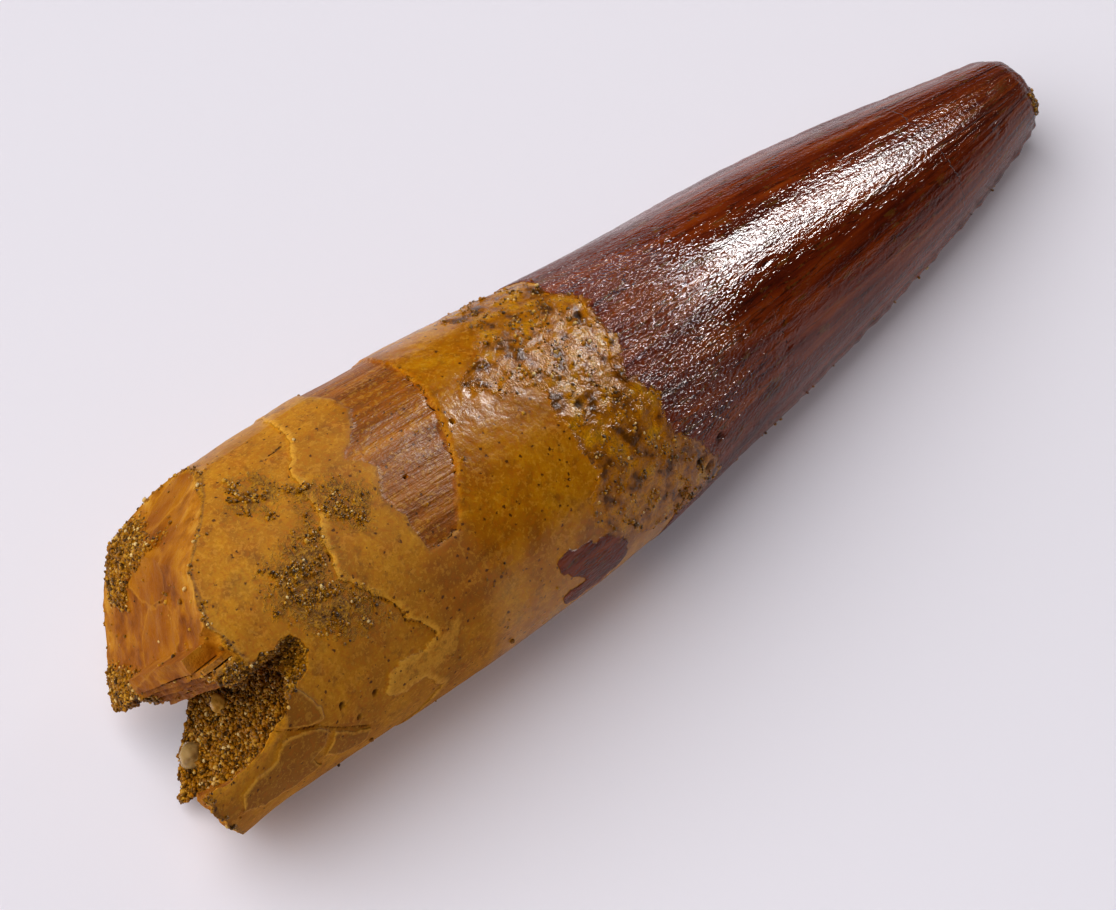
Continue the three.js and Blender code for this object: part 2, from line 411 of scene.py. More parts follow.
def block_of(face: Callable[[Array, Array], Array], width: tuple[float, float],
             length: tuple[float, float], back: float, spacing: float) -> Shell:
    """A block whose front is a fine uneven face and whose back is flat.

    Args:
        face: station of the front at places (out, along).
        width: least and greatest out.
        length: least and greatest along.
        back: station of the flat back, beyond the front in -X or +X.
        spacing: distance between the front's points.

    Returns:
        The closed block, with points as (x, out, along).
    """
    out = np.linspace(*width, int((width[1] - width[0]) / spacing) + 2)
    along = np.linspace(*length, int((length[1] - length[0]) / spacing) + 2)
    grid_out, grid_along = np.meshgrid(out, along, indexing="ij")
    front = face(grid_out.ravel(), grid_along.ravel())
    flat = np.column_stack([grid_out.ravel(), grid_along.ravel()])
    points = np.vstack([np.column_stack([front, flat]), np.column_stack([0 * front + back, flat])])
    index = np.arange(len(front)).reshape(grid_out.shape)
    near = np.stack([index[:-1, :-1], index[1:, :-1], index[1:, 1:], index[:-1, 1:]], -1)
    rim = np.concatenate([index[:-1, 0], index[-1, :-1], index[:0:-1, -1], index[0, :0:-1]])
    following = np.roll(rim, -1)
    size = len(front)
    sides = np.stack([following, rim, rim + size, following + size], -1)
    far = near.reshape(-1, 4)[:, ::-1] + size
    faces = np.vstack([near.reshape(-1, 4), far, sides])
    return Shell(points, faces if back < front.min() else faces[:, ::-1])


def round_grain(detail: int) -> tuple[Array, Array]:
    """Points and triangles of a ball of radius 1.

    Args:
        detail: 1 for 20 triangles, and four times as many for each step more.

    Returns:
        The points, one row each, and the triangles.
    """
    ball = bmesh.new()
    bmesh.ops.create_icosphere(ball, subdivisions=detail, radius=1.0)
    points = np.array([vertex.co[:] for vertex in ball.verts])
    faces = np.array([[vertex.index for vertex in face.verts] for face in ball.faces])
    ball.free()
    return points, faces


# ---- the course of the tooth ----


@dataclass(frozen=True)
class ToothForm:
    """Course and sections of the tooth, as in its solid part."""

    root_end: float = -41.8
    tip_end: float = 41.8
    tip_rounding: float = 1.6
    tip_flat: float = 0.7
    stations: Sequence[float] = (-36, -25, -13, -3, 7, 17, 27, 35, 41)
    half_widths: Sequence[float] = (10.2, 10.4, 10.05, 9.35, 8.2, 7.0, 5.55, 4.1, 2.8)
    sides: Sequence[float] = (0.9, 0.25, -0.65, -1.1, -0.85, -0.55, -0.5, -0.3, 0.2)
    lift_stations: Sequence[float] = (-36, -25, -13, 7, 17, 27, 35, 41)
    lifts: Sequence[float] = (0.5, 0.05, 0, 0, 0.1, 0.6, 1.1, 1.5)
    flattening: float = 0.89  # thickness of the section as a share of its width
    roll: float = -62.0
    rest_facet: float = 0.3
    swell: float = 0.06
    swell_runs: tuple[float, float] = (5.3, 8.1)
    carina_height: float = 0.3
    carina_spread: float = 7.0
    carina_start: tuple[float, float] = (0.0, 15.0)
    carina_under: tuple[float, float] = (60.0, 120.0)  # from the roll, where nicks grow full
    carina_nicks: float = 0.45
    nicks_above: float = 0.25
    nicks: Noise = Noise(Seed.CARINA, 1.3, 3, 0.8)

    def centre(self, x: Array) -> tuple[Array, Array]:
        """Where the section's centre is.

        Args:
            x: stations.

        Returns:
            Sideways place and height of the centre at each station.
        """
        roll = math.radians(self.roll)
        down = math.hypot(math.cos(roll), self.flattening * math.sin(roll))
        lift = curve(self.lift_stations, self.lifts, x)
        height = self.half_width(x) * down - self.rest_facet + lift
        return curve(self.stations, self.sides, x), height

    def half_width(self, x: Array) -> Array:
        """Half the greatest width of the section at stations."""
        return curve(self.stations, self.half_widths, x)

    def radius(self, x: Array, angle: Array) -> Array:
        """Radius of the tooth at stations and angles, with its slow unevenness.

        Args:
            x: stations.
            angle: angles round the tooth.

        Returns:
            Distance from the centre to the surface.
        """
        width = self.half_width(x)
        thick = width * self.flattening
        turned = np.radians(angle - self.roll)
        section = width * thick / np.hypot(thick * np.cos(turned), width * np.sin(turned))
        turn = np.radians(angle)
        short, long = self.swell_runs
        wave = np.sin(x / short + 2 * turn) + np.sin(x / long - 3 * turn + 1)
        return section + self.swell * wave

    def carina(self, x: Array, angle: Array) -> Array:
        """Height of the two cutting edges, which fade in on the crown.

        Args:
            x: stations.
            angle: angles round the tooth.

        Returns:
            Height above the section at each place.
        """
        off = np.abs(angle_from(2 * angle, 2 * self.roll)) / 2
        under = fade(np.abs(angle_from(angle, self.roll)), *self.carina_under)
        nicks = self.carina_nicks * self.nicks.at(x[:, None] * (1.0, 0.0, 0.0))
        nicks *= self.nicks_above + (1 - self.nicks_above) * under
        height = self.carina_height * fade(x, *self.carina_start) * (1 + nicks)
        return height * np.exp(-((off / self.carina_spread) ** 2))

    def surface(self, x: Array, angle: Array, radius: Array) -> Array:
        """Turns places round the tooth into the tooth's frame.

        Args:
            x: stations.
            angle: angles round the tooth.
            radius: distances from the section's centre.

        Returns:
            The places, one row each.
        """
        y, z = self.centre(x)
        turn = np.radians(angle)
        return np.column_stack([x, y - radius * np.sin(turn), z + radius * np.cos(turn)])

    def local(self, points: Array) -> tuple[Array, Array, Array]:
        """Turns places in the tooth's frame into places round the tooth.

        Args:
            points: the places, one row each.

        Returns:
            Station, angle and radius of each.
        """
        y, z = self.centre(points[:, 0])
        side, up = points[:, 1] - y, points[:, 2] - z
        return points[:, 0], np.degrees(np.arctan2(-side, up)), np.hypot(side, up)


@dataclass(frozen=True)
class Marks:
    """Patches, flakes, cracks and pits of the skin, as corners of (station, angle)."""

    crown_edge: Outline = (
        (-180, -4.5), (-110, -5), (-60, -2.5), (-34, -1.6), (-25, -2.5), (-16, -1.9), (-9, -1.4),
        (0, -1.8), (13, -2.0), (21, -2.9), (31, -3.6), (38, -3.0), (59, -3.1), (73, -3.7),
        (82, -3.0), (90, -2.2), (110, -4.0), (180, -4.5),
    )
    enamel_patch: Outline = (
        (-14.0, 80), (-13.3, 78), (-11.6, 81), (-8.9, 87), (-8.0, 96), (-8.2, 106), (-10, 110),
        (-13.0, 108), (-13.7, 100), (-11.9, 99), (-13.6, 88),
    )
    striated: Outline = (
        (-14.9, -78), (-13.2, -62), (-13.7, -40), (-14.1, -14), (-14.5, -5), (-14.8, 0), (-15.2, 6),
        (-15.7, 13), (-16.3, 21), (-17.0, 29), (-19.1, 46), (-20.5, 47), (-21.5, 47), (-21.6, 37),
        (-21.4, 31), (-21.9, 20), (-20.6, 9), (-21.1, 3), (-21.7, -1), (-20.5, -7), (-19.5, -12),
        (-18.6, -20), (-18.4, -30), (-18.8, -42), (-18.0, -62), (-16.8, -81),
    )
    outer_layer: Outline = (
        (-22.5, -180), (-19.8, -140), (-21.3, -105), (-20.5, -75), (-22.0, -40), (-22.9, -21),
        (-24.8, -9), (-25.3, 5), (-26.9, 27), (-27.5, 37), (-26.6, 44), (-26.0, 50), (-25.3, 56),
        (-24.9, 61), (-25.0, 65), (-24.1, 69), (-23.4, 77), (-24.3, 79), (-25.9, 79), (-27.2, 80),
        (-28.0, 87), (-27.3, 92), (-24.9, 92), (-23.5, 104), (-26, 125), (-24, 150), (-22.5, 180),
        (30, 180), (30, -180),
    )
    pale_streak: Outline = (
        (-28.0, 87), (-27.2, 80), (-25.9, 79), (-24.1, 81), (-21.6, 75), (-22.4, 88), (-24.9, 92),
        (-27.3, 92),
    )
    brown_cloud: Outline = (
        (-22.0, 45), (-18.6, 45), (-17.2, 60), (-18.0, 74), (-20.5, 82), (-22.6, 72), (-22.5, 58),
    )
    flakes: tuple[Outline, ...] = (
        ((-34.9, 62), (-33.9, 58), (-33.2, 64), (-32.4, 75), (-32.4, 80), (-33.1, 80), (-34.3, 77),
         (-35.5, 72), (-35.9, 66)),
        ((-39.2, 87), (-38.2, 84), (-36.4, 84), (-35.6, 78), (-33.7, 80), (-32.3, 86), (-32.8, 92),
         (-33.8, 95), (-33.1, 102), (-35.1, 105), (-37.7, 101), (-39.3, 95)),
        ((-32.0, 89), (-29.3, 100), (-29.6, 107), (-31.8, 103), (-32.9, 98), (-32.4, 94)),
    )
    crust: Outline = (
        (-4.8, -58), (-1.9, -42), (-2.0, -21), (-1.1, -10), (-1.5, 3), (-1.9, 17), (-3.0, 32), (-2.0, 41),
        (-2.0, 53), (-2.4, 63), (-1.0, 73), (0.9, 90), (1.2, 103), (-1.9, 106), (-4.9, 101),
        (-8.2, 91), (-10.0, 78), (-10.1, 66), (-8.5, 58), (-8.9, 43), (-8.8, 29), (-8.2, 14),
        (-10.5, 10), (-12.2, 2), (-11.6, -7), (-9.4, -12), (-8.0, -20), (-8.5, -42), (-6.4, -55),
    )
    sand: tuple[Outline, ...] = (
        ((-30.7, 19), (-28.9, 16), (-27.6, 13), (-27.0, 24), (-27.6, 36), (-26.8, 44),
         (-26.1, 50), (-25.5, 57), (-26.9, 61), (-28.8, 57), (-30.8, 47), (-31.9, 36), (-31.6, 27)),
        ((-27.8, -22), (-26.3, -19), (-25.8, -8), (-27.1, 1), (-28.6, -2), (-29.2, -10)),
        ((-24.4, 0), (-23.0, 5), (-22.2, 17), (-23.9, 24), (-25.2, 20), (-25.6, 12)),
        ((-25.2, -4), (-25.6, 6), (-26.6, 18), (-27.4, 17), (-26.3, 4), (-26.0, -4)),
    )
    cracks: tuple[Outline, ...] = (
        ((12.2, 24), (10.8, 32), (10.5, 43), (10.3, 58), (9.9, 69), (9.2, 90)),
        ((38.4, 36), (35.6, 32), (33.2, 32), (29.9, 30)),
        ((35.6, 44), (36.4, 52), (35.8, 60)),
        ((38.2, 4), (37.2, 14), (37.8, 26)),
        ((-11.9, -6), (-12.1, 0), (-12.3, 4)),
        ((-27.1, 24), (-27.0, 33)),
        ((-20.7, 47), (-19.1, 46)),
        ((-26.6, 44), (-26.0, 50), (-25.3, 56), (-24.9, 61), (-25.0, 65), (-24.1, 69), (-23.4, 77)),
        ((-35.8, 72), (-34.3, 78), (-33.0, 81), (-32.2, 86), (-29.3, 99)),
        ((-25.3, -20), (-24.5, -22), (-23.8, -22), (-23.2, -23)),
        ((-13.9, -20), (-14.3, -10), (-14.8, 0), (-15.2, 6), (-15.7, 13), (-16.3, 21), (-17.0, 29)),
    )
    pits: tuple[tuple[float, float, float], ...] = (  # station, angle and radius
        (-7.0, 31, 0.36), (1.4, 83, 0.3), (-14.7, 9, 0.13), (-19.7, 18, 0.13), (-0.8, 86, 0.4),
        (-0.1, 92, 0.35), (-28.6, 84, 0.2), (-31.0, 80, 0.2), (-30.0, 90, 0.16), (-2.3, -3, 0.25),
    )
    pit_wall: tuple[float, float] = (0.5, 1.3)  # foot and brim of a pit's wall, in its radii
    ragged: Noise = Noise(Seed.OUTLINES, 1.3, 2)
    ragged_fine: Noise = Noise(Seed.OUTLINES, 0.55, 2)
    raggedness: tuple[tuple[str, float, float], ...] = (  # share of each noise in a patch's edge
        ("enamel", 0.3, 0.15), ("striated", 0.12, 0.1), ("layer", 0.2, 0.15), ("pale", 0.1, 0.0),
        ("cloud", 0.5, 0.0), ("flake", 0.0, 0.1), ("crust", 0.45, 0.2), ("sand", 0.6, 0.3),
    )
    crack_wander: float = 0.25  # millimetres that the fine noise moves a crack along the tooth

    def measure(self, x: Array, angle: Array) -> dict[str, Array]:
        """Reads every mark at places on the skin.

        Args:
            x: stations.
            angle: angles round the tooth.

        Returns:
            By name, millimetres inside each patch, negative outside, distance from the cracks
            and depth of the pits from 0 to 1.
        """
        ragged = self.ragged.at(rolled(x, angle))
        fine = self.ragged_fine.at(rolled(x, angle))
        outlines = {
            "enamel": (self.enamel_patch,), "striated": (self.striated,),
            "layer": (self.outer_layer,), "pale": (self.pale_streak,),
            "cloud": (self.brown_cloud,), "flake": self.flakes, "crust": (self.crust,),
            "sand": self.sand,
        }
        marks = {name: np.max([within(x, angle, each) for each in patch], axis=0)
                 for name, patch in outlines.items()}
        edges, stations = zip(*self.crown_edge, strict=True)
        crown = x - curve(edges, stations, angle_from(angle, 0.0))
        marks["enamel"] = np.maximum(crown, marks["enamel"])
        for name, coarse, slight in self.raggedness:
            marks[name] = marks[name] + coarse * ragged + slight * fine
        spots = (x + self.crack_wander * fine, angle + fine)
        marks["crack"] = np.min([beside(*spots, each) for each in self.cracks], axis=0)
        marks["pit"] = self._pits(x, angle)
        return marks

    def _pits(self, x: Array, angle: Array) -> Array:
        """Measures the pits.

        Args:
            x: stations.
            angle: angles round the tooth.

        Returns:
            Depth from 0 to 1.
        """
        foot, brim = self.pit_wall
        depth = np.zeros(len(x))
        for station, turn, radius in self.pits:
            away = np.hypot(x - station, angle_from(angle, turn) * DEGREE)
            depth = np.maximum(depth, 1.0 - fade(away, foot * radius, brim * radius))
        return depth


@dataclass(frozen=True)
class Relief:
    """Heights of what is seen on the skin, in millimetres."""

    enamel_step: float = 0.14
    enamel_edge: float = 0.15  # half the width of the slope from enamel to root
    furrow: float = 0.022
    furrows: Noise = Noise(Seed.RIDGES, 0.95, 2, 0.6, stretch=9.0)
    wrinkle: float = 0.016
    wrinkles: Noise = Noise(Seed.WRINKLES, 0.42, 2, 0.7, stretch=2.6)
    layer_step: float = 0.12
    layer_edge: float = 0.09
    scar_shallow: float = 0.06
    scar_deep: float = 0.2
    scar_slope: tuple[float, float] = (-20.5, -15.5)  # stations where the scar grows deep
    scar_edge: float = 0.12
    stria: float = 0.03
    striae: Noise = Noise(Seed.STRIAE, 0.5, 2, 0.8, stretch=12.0)
    swell: float = 0.05
    swells: Noise = Noise(Seed.SWELLS, 3.0, 3)
    pore: float = 0.012
    pores: Noise = Noise(Seed.PORES, 0.5)
    crust: float = 0.08
    crust_base: float = 0.4  # least thickness of the crust as a share of its relief
    crust_edge: tuple[float, float] = (-0.3, 0.4)
    crusts: Noise = Noise(Seed.CRUST, 0.9, 3, 0.7)
    grain: float = 0.05
    grains: Noise = Noise(Seed.CAKED_SAND, 0.6, 2)
    sand_edge: tuple[float, float] = (-0.2, 0.5)
    sand_crust: float = 0.6  # thickness of the caked sand as a share of the crust's
    crack: float = 0.1
    crack_width: float = 0.11
    pit: float = 0.3
    flake: float = 0.16
    flake_edge: float = 0.1

    def height(self, x: Array, angle: Array, marks: dict[str, Array]) -> Array:
        """Height of the relief at places on the skin.

        Args:
            x: stations.
            angle: angles round the tooth.
            marks: what the marks measure there.

        Returns:
            Millimetres above the smooth surface.
        """
        skin = rolled(x, angle)
        enamel = fade(marks["enamel"], -self.enamel_edge, self.enamel_edge)
        root = (1 - enamel) * self._root(x, skin, marks)
        wrinkled = self.furrow * self.furrows.at(skin) + self.wrinkle * self.wrinkles.at(skin)
        crown = enamel * wrinkled + (enamel - 0.5) * self.enamel_step
        crust = fade(marks["crust"], *self.crust_edge)
        rough = self.crust * (self.crust_base + self.crusts.at(skin))
        sand = fade(marks["sand"], *self.sand_edge)
        caked = sand * (self.grain * self.grains.at(skin) + self.sand_crust * rough)
        cracks = self.crack * np.exp(-((marks["crack"] / self.crack_width) ** 2))
        return root + crown + crust * rough + caked - (cracks + self.pit * marks["pit"])

    def _root(self, x: Array, skin: Array, marks: dict[str, Array]) -> Array:
        """Height of the dentine's flaked layers and soft unevenness.

        Args:
            x: stations.
            skin: places that the patterns are read at.
            marks: what the marks measure there.

        Returns:
            Millimetres above the smooth surface.
        """
        layer = (fade(marks["layer"], -self.layer_edge, self.layer_edge) - 0.5) * self.layer_step
        deeper = self.scar_deep - self.scar_shallow
        deep = self.scar_shallow + deeper * fade(x, *self.scar_slope)
        inside = fade(marks["striated"], -self.scar_edge, self.scar_edge)
        striae = self.stria * self.striae.at(skin)
        soft = self.swell * self.swells.at(skin) + self.pore * self.pores.at(skin)
        flake = self.flake * fade(marks["flake"], -self.flake_edge, self.flake_edge)
        return layer - inside * (deep - striae) + (1 - inside) * soft + flake


# ---- the break ----


@dataclass(frozen=True)
class BreakPlane:
    """A fracture plane: its station on the centre line and its advance to +Y and up."""

    x: float
    per_y: float
    per_z: float
    half: Half
    seed: int
    roughness: float

    def station(self, side: Array, up: Array) -> Array:
        """Station of the plane at distances to +Y and up from the centre line."""
        return self.x + self.per_y * side + self.per_z * up


@dataclass(frozen=True)
class Plate:
    """One thin layer of dentine that stands out of the break, by chord places."""

    along: float
    out: float
    top: float
    length: float
    thickness: float
    seed: int


@dataclass(frozen=True)
class BreakForm:
    """The broken root end. The hollow runs across it along a chord of the section."""

    form: ToothForm
    centre_x: float = -35.0
    chord_angle: float = -142.0
    chord_out: float = 2.6
    reach: float = 15.0
    far_end: float = -140.0
    spacing: float = 0.2
    planes: tuple[BreakPlane, ...] = (
        BreakPlane(-36.8, 0.45, 0.3, Half.ABOVE, 41, 0.16),
        BreakPlane(-39.4, -0.38, 0.26, Half.ABOVE, 44, 0.34),
        BreakPlane(-47.2, 1.4, 1.46, Half.BOTH, 42, 0.3),
        BreakPlane(-38.2, 0.31, -0.25, Half.BELOW, 43, 0.4),
        BreakPlane(-41.1, 0.0, -0.5, Half.BELOW, 45, 0.4),
    )
    plates: tuple[Plate, ...] = (
        Plate(-3.4, -0.95, -38.0, 8.6, 1.0, 61),
        Plate(-3.6, -0.18, -37.7, 10.2, 0.36, 62),
        Plate(-3.6, 0.28, -37.3, 11.0, 0.36, 63),
        Plate(-3.6, 0.74, -36.8, 11.3, 0.36, 64),
        Plate(-3.4, 1.22, -36.3, 10.4, 0.36, 65),
    )
    fracture: Noise = Noise(0, 2.2, 4, 0.6)
    plate_root: float = -33.0
    plate_spacing: float = 0.16
    plate_ragged: float = 0.16
    plate_edge: Noise = Noise(0, 2.6, 4, 0.55)
    plate_shear: float = 2.0  # how much faster a layer's edge changes through its thickness
    plate_bend: float = 0.06
    plate_wave: Noise = Noise(9, 2.5, 3)
    plate_even: float = 1e6  # how much slower its bend changes through its thickness
    hollow_centre: tuple[float, float, float] = (-40.4, 3.5, 2.6)
    hollow_half: tuple[float, float, float] = (11.0, 3.6, 14.0)
    hollow_lumps: float = 0.3
    cleft_centre: tuple[float, float, float] = (-34.0, 2.4, -9.0)
    cleft_half: tuple[float, float, float] = (2.6, 1.5, 2.0)
    cleft_lumps: float = 0.4
    egg_lumps: Noise = Noise(Seed.HOLLOW, 2.4, 4, 0.6)
    egg_detail: int = 6
    lip_end: tuple[float, float] = (-35.0, -33.0)  # stations over which the lip fades out
    matrix_x: float = -28.9
    matrix_per_out: float = -1.06
    matrix_per_along: float = -0.2

    def directions(self) -> tuple[Array, Array, Array]:
        """Finds the chord.

        Returns:
            Centre of the break, and the directions out from and along the chord.
        """
        y, z = self.form.centre(np.array([self.centre_x]))
        turn = math.radians(self.chord_angle)
        along = np.array([0.0, -math.sin(turn), math.cos(turn)])
        out = np.array([0.0, math.cos(turn), math.sin(turn)])
        return np.array([0.0, y[0], z[0]]), out, along

    def from_chord(self, points: Array) -> Array:
        """Turns chord places into the tooth's frame.

        Args:
            points: places as (x, out, along), one row each.

        Returns:
            The places in the tooth's frame, one row each.
        """
        centre, out, along = self.directions()
        station = np.column_stack([points[:, 0], np.zeros((len(points), 2))])
        return centre + station + points[:, 1:2] * out + points[:, 2:3] * along

    def to_chord(self, points: Array) -> tuple[Array, Array]:
        """Turns places in the tooth's frame into chord places.

        Args:
            points: the places, one row each.

        Returns:
            How far out from and along the chord each is.
        """
        centre, out, along = self.directions()
        away = points - centre
        return away @ out, away @ along

    def matrix_face(self, out: Array, along: Array) -> Array:
        """Station of the sandstone's plain face at places across the break."""
        return self.matrix_x + self.matrix_per_out * out + self.matrix_per_along * along

    def from_hollow(self, points: Array) -> Array:
        """Measures the lip beside the hollow, below its middle alone.

        Args:
            points: places in the tooth's frame, one row each.

        Returns:
            Millimetres from the hollow's edge, and a far distance where there is no lip.
        """
        out, along = self.to_chord(points)
        away = np.column_stack([points[:, 0], out, along]) - self.hollow_centre
        share = np.linalg.norm(away / self.hollow_half, axis=1)
        distance = np.linalg.norm(away, axis=1) * (1 - 1 / share)
        lip = np.where(out > self.hollow_centre[1], distance, FAR)
        return lip + FAR * fade(points[:, 0], *self.lip_end)

    def beyond(self, points: Array) -> Array:
        """Measures along the tooth from the fracture planes.

        Args:
            points: places in the tooth's frame, one row each.

        Returns:
            Millimetres from the nearest plane that cuts there.
        """
        centre, out_way, _ = self.directions()
        away = points - centre
        above = away @ out_way < self.chord_out
        reached = np.full(len(points), -np.inf)
        for plane in self.planes:
            cuts = (plane.half is Half.BOTH) | (above == (plane.half is Half.ABOVE))
            station = np.where(cuts, plane.station(away[:, 1], away[:, 2]), -np.inf)
            reached = np.maximum(reached, station)
        return points[:, 0] - reached

    def plane_block(self, plane: BreakPlane) -> bpy.types.Object:
        """Everything beyond a rough fracture plane, on its side of the hollow's edge.

        Args:
            plane: the fracture plane.

        Returns:
            The solid, ready to cut with.
        """
        _, out_way, along_way = self.directions()
        width = (self.chord_out if plane.half is Half.BELOW else -self.reach,
                 self.chord_out if plane.half is Half.ABOVE else self.reach)

        def front(out: Array, along: Array) -> Array:
            """The rough fracture.

            Args:
                out: places out from the chord.
                along: places along the chord.

            Returns:
                Station at each place.
            """
            side = out * out_way[1] + along * along_way[1]
            up = out * out_way[2] + along * along_way[2]
            spots = np.column_stack([out, along, 0 * out])
            uneven = replace(self.fracture, seed=plane.seed).at(spots)
            return plane.station(side, up) + plane.roughness * uneven

        shell = block_of(front, width, (-self.reach, self.reach), self.far_end, self.spacing)
        return Shell(self.from_chord(shell.points), shell.faces).to_object("fracture")

    def hollow(self, inset: float) -> bpy.types.Object:
        """The hollow of the break, made smaller all round by an inset."""
        half = np.array(self.hollow_half) - inset
        return self.egg(np.array(self.hollow_centre), half, self.hollow_lumps)

    def cleft(self) -> bpy.types.Object:
        """The side cleft that the hollow runs into."""
        return self.egg(np.array(self.cleft_centre), np.array(self.cleft_half), self.cleft_lumps)

    def egg(self, centre: Array, half: Array, lumps: float) -> bpy.types.Object:
        """An uneven egg to cut with.

        Args:
            centre: its middle, as (x, out, along).
            half: half its length along each of them.
            lumps: height of its unevenness.

        Returns:
            The solid.
        """
        unit, faces = round_grain(self.egg_detail)
        sized = unit * half
        sized += unit * (lumps * self.egg_lumps.at(sized))[:, None]
        return Shell(self.from_chord(sized + centre), faces).to_object("hollow")

    def plate(self, plate: Plate) -> bpy.types.Object:
        """Makes one ragged layer of dentine.

        Args:
            plate: the layer.

        Returns:
            The solid, longer than the part that stands out of the break.
        """
        half = plate.length / 2

        def front(out: Array, along: Array) -> Array:
            """The layer's broken edge.

            Args:
                out: places out from the chord.
                along: places along the chord.

            Returns:
                Station at each place.
            """
            spots = np.column_stack([along, self.plate_shear * out, 0 * out])
            uneven = replace(self.plate_edge, seed=plate.seed).at(spots)
            return plate.top + self.plate_ragged * uneven

        width = (plate.out - plate.thickness / 2, plate.out + plate.thickness / 2)
        length = (plate.along - half, plate.along + half)
        shell = block_of(front, width, length, self.plate_root, self.plate_spacing)
        wave = replace(self.plate_wave, seed=plate.seed + self.plate_wave.seed)
        spread = shell.points / (1.0, self.plate_even, 1.0)
        shell.points[:, 1] += self.plate_bend * wave.at(spread)
        return Shell(self.from_chord(shell.points), shell.faces).to_object("plate")


# ---- finishes ----


def linear(code: str) -> tuple[float, float, float, float]:
    """Turns an sRGB hex colour such as '#b8780f' into a linear one.

    Args:
        code: the hex colour.

    Returns:
        Linear red, green and blue by the sRGB standard's curve, and an alpha of 1.
    """
    parts = [int(code[i : i + 2], 16) / 255 for i in (1, 3, 5)]
    straight = [p / 12.92 if p <= 0.04045 else ((p + 0.055) / 1.055) ** 2.4 for p in parts]
    return (*straight, 1.0)


class Recipe:
    """A material while its nodes are being added, with its patterns and masks by name."""

    def __init__(self, name: str) -> None:
        """Starts an empty material and names the place of each point, in millimetres.

        Args:
            name: name of the material.
        """
        self.material = bpy.data.materials.new(name)
        self.material.use_nodes = True
        self.tree = self.material.node_tree
        self.tree.nodes.clear()
        where = (self.add("TexCoord"), "Object")
        place = self.add("VectorMath", {0: where, "Scale": 1 / MM}, operation="SCALE")
        self.named: dict[str, object] = {"place": place}

    def add(self, kind: str, inputs: dict[str | int, object] | None = None,
            stops: Stops = (), **settings: object) -> bpy.types.Node:
        """Adds a node with its settings and links.

        Args:
            kind: type of the node, without its 'ShaderNode'.
            inputs: for each input, by name, identifier or number, a value, a hex colour, a
                name, a node, or a node and the name of one of its outputs.
            stops: places and hex colours, for a node that holds a run of colours.
            **settings: properties of the node.

        Returns:
            The node.
        """
        node = self.tree.nodes.new("ShaderNode" + kind)
        for name, value in settings.items():
            setattr(node, name, value)
        while stops and len(node.color_ramp.elements) < len(stops):
            node.color_ramp.elements.new(0.5)
        for (place, code), element in zip(stops, node.color_ramp.elements if stops else ()):
            element.position = place
            element.color = linear(code)
        for name, value in (inputs or {}).items():
            socket = node.inputs[name] if isinstance(name, int) \
                else next(s for s in node.inputs if name in (s.identifier, s.name))
            if isinstance(value, str):
                value = linear(value) if value.startswith("#") else self.named[value]
            if isinstance(value, bpy.types.Node):
                self.tree.links.new(next(s for s in value.outputs if s.enabled), socket)
            elif isinstance(value, tuple) and isinstance(value[0], bpy.types.Node):
                self.tree.links.new(value[0].outputs[value[1]], socket)
            else:
                socket.default_value = value
        return node

    def masks(self, wanted: dict[str, tuple[str, str, float, float, float]]) -> None:
        """Names masks that rise from 0 to 1 over a stretch of a value, or fall where it runs back.

        Args:
            wanted: for each name, the value, a pattern that makes its edge ragged, by how
                much, and where it starts and ends to rise.
        """
        for name, (value, pattern, amount, low, high) in wanted.items():
            ragged = self.add("Math", {0: pattern, 1: amount, 2: value}, operation="MULTIPLY_ADD")
            limits = {"Value": ragged, "From Min": low + amount / 2, "From Max": high + amount / 2}
            self.named[name] = self.add("MapRange", limits, interpolation_type="SMOOTHSTEP")

    def products(self, wanted: dict[str, tuple[str, ...]]) -> None:
        """Names masks that are multiplied together.

        Args:
            wanted: for each name, the masks to multiply.
        """
        for name, (first, *others) in wanted.items():
            product: object = first
            for other in others:
                product = self.add("Math", {0: product, 1: other}, operation="MULTIPLY")
            self.named[name] = product

    def lay(self, base: object, coats: Sequence[tuple], data: str = "RGBA") -> object:
        """Lays colours, or single values, over one another.

        Args:
            base: the first colour or value.
            coats: masks, how strongly each shows, and the colour or value that it lets through.
            data: 'RGBA' for colours or 'FLOAT' for single values.

        Returns:
            The last colour or value.
        """
        under, over = ("A_Color", "B_Color") if data == "RGBA" else ("A_Float", "B_Float")
        for mask, strength, coat in coats:
            share = self.add("Math", {0: mask, 1: strength}, operation="MULTIPLY")
            base = self.add("Mix", {"Factor_Float": share, under: base, over: coat}, data_type=data)
        return base

    def heap(self, heights: Sequence[tuple[object, object, float]]) -> bpy.types.Node:
        """Adds a bump of patterns.

        Args:
            heights: patterns, the masks that they show in, and their heights in millimetres.

        Returns:
            The bump node.
        """
        total: object = 0.0
        for pattern, mask, height in heights:
            scaled = self.add("Math", {0: mask, 1: height}, operation="MULTIPLY")
            total = self.add("Math", {0: pattern, 1: scaled, 2: total}, operation="MULTIPLY_ADD")
        return self.add("Bump", {"Height": total, "Distance": MM, "Strength": 1.0})

    def finish(self, colour: object, gloss: object, normal: object, ior: float,
               **more: object) -> bpy.types.Material:
        """Joins colour, roughness and bump in a surface.

        Args:
            colour: the base colour.
            gloss: the roughness.
            normal: the bump node, or nothing.
            ior: index of refraction.
            **more: other inputs of the surface, with _ for a space.

        Returns:
            The finished material.
        """
        sockets = {"Base Color": colour, "Roughness": gloss, "IOR": ior}
        if normal is not None:
            sockets["Normal"] = normal
        sockets.update({name.replace("_", " "): value for name, value in more.items()})
        self.add("OutputMaterial", {"Surface": self.add("BsdfPrincipled", sockets)})
        return self.material


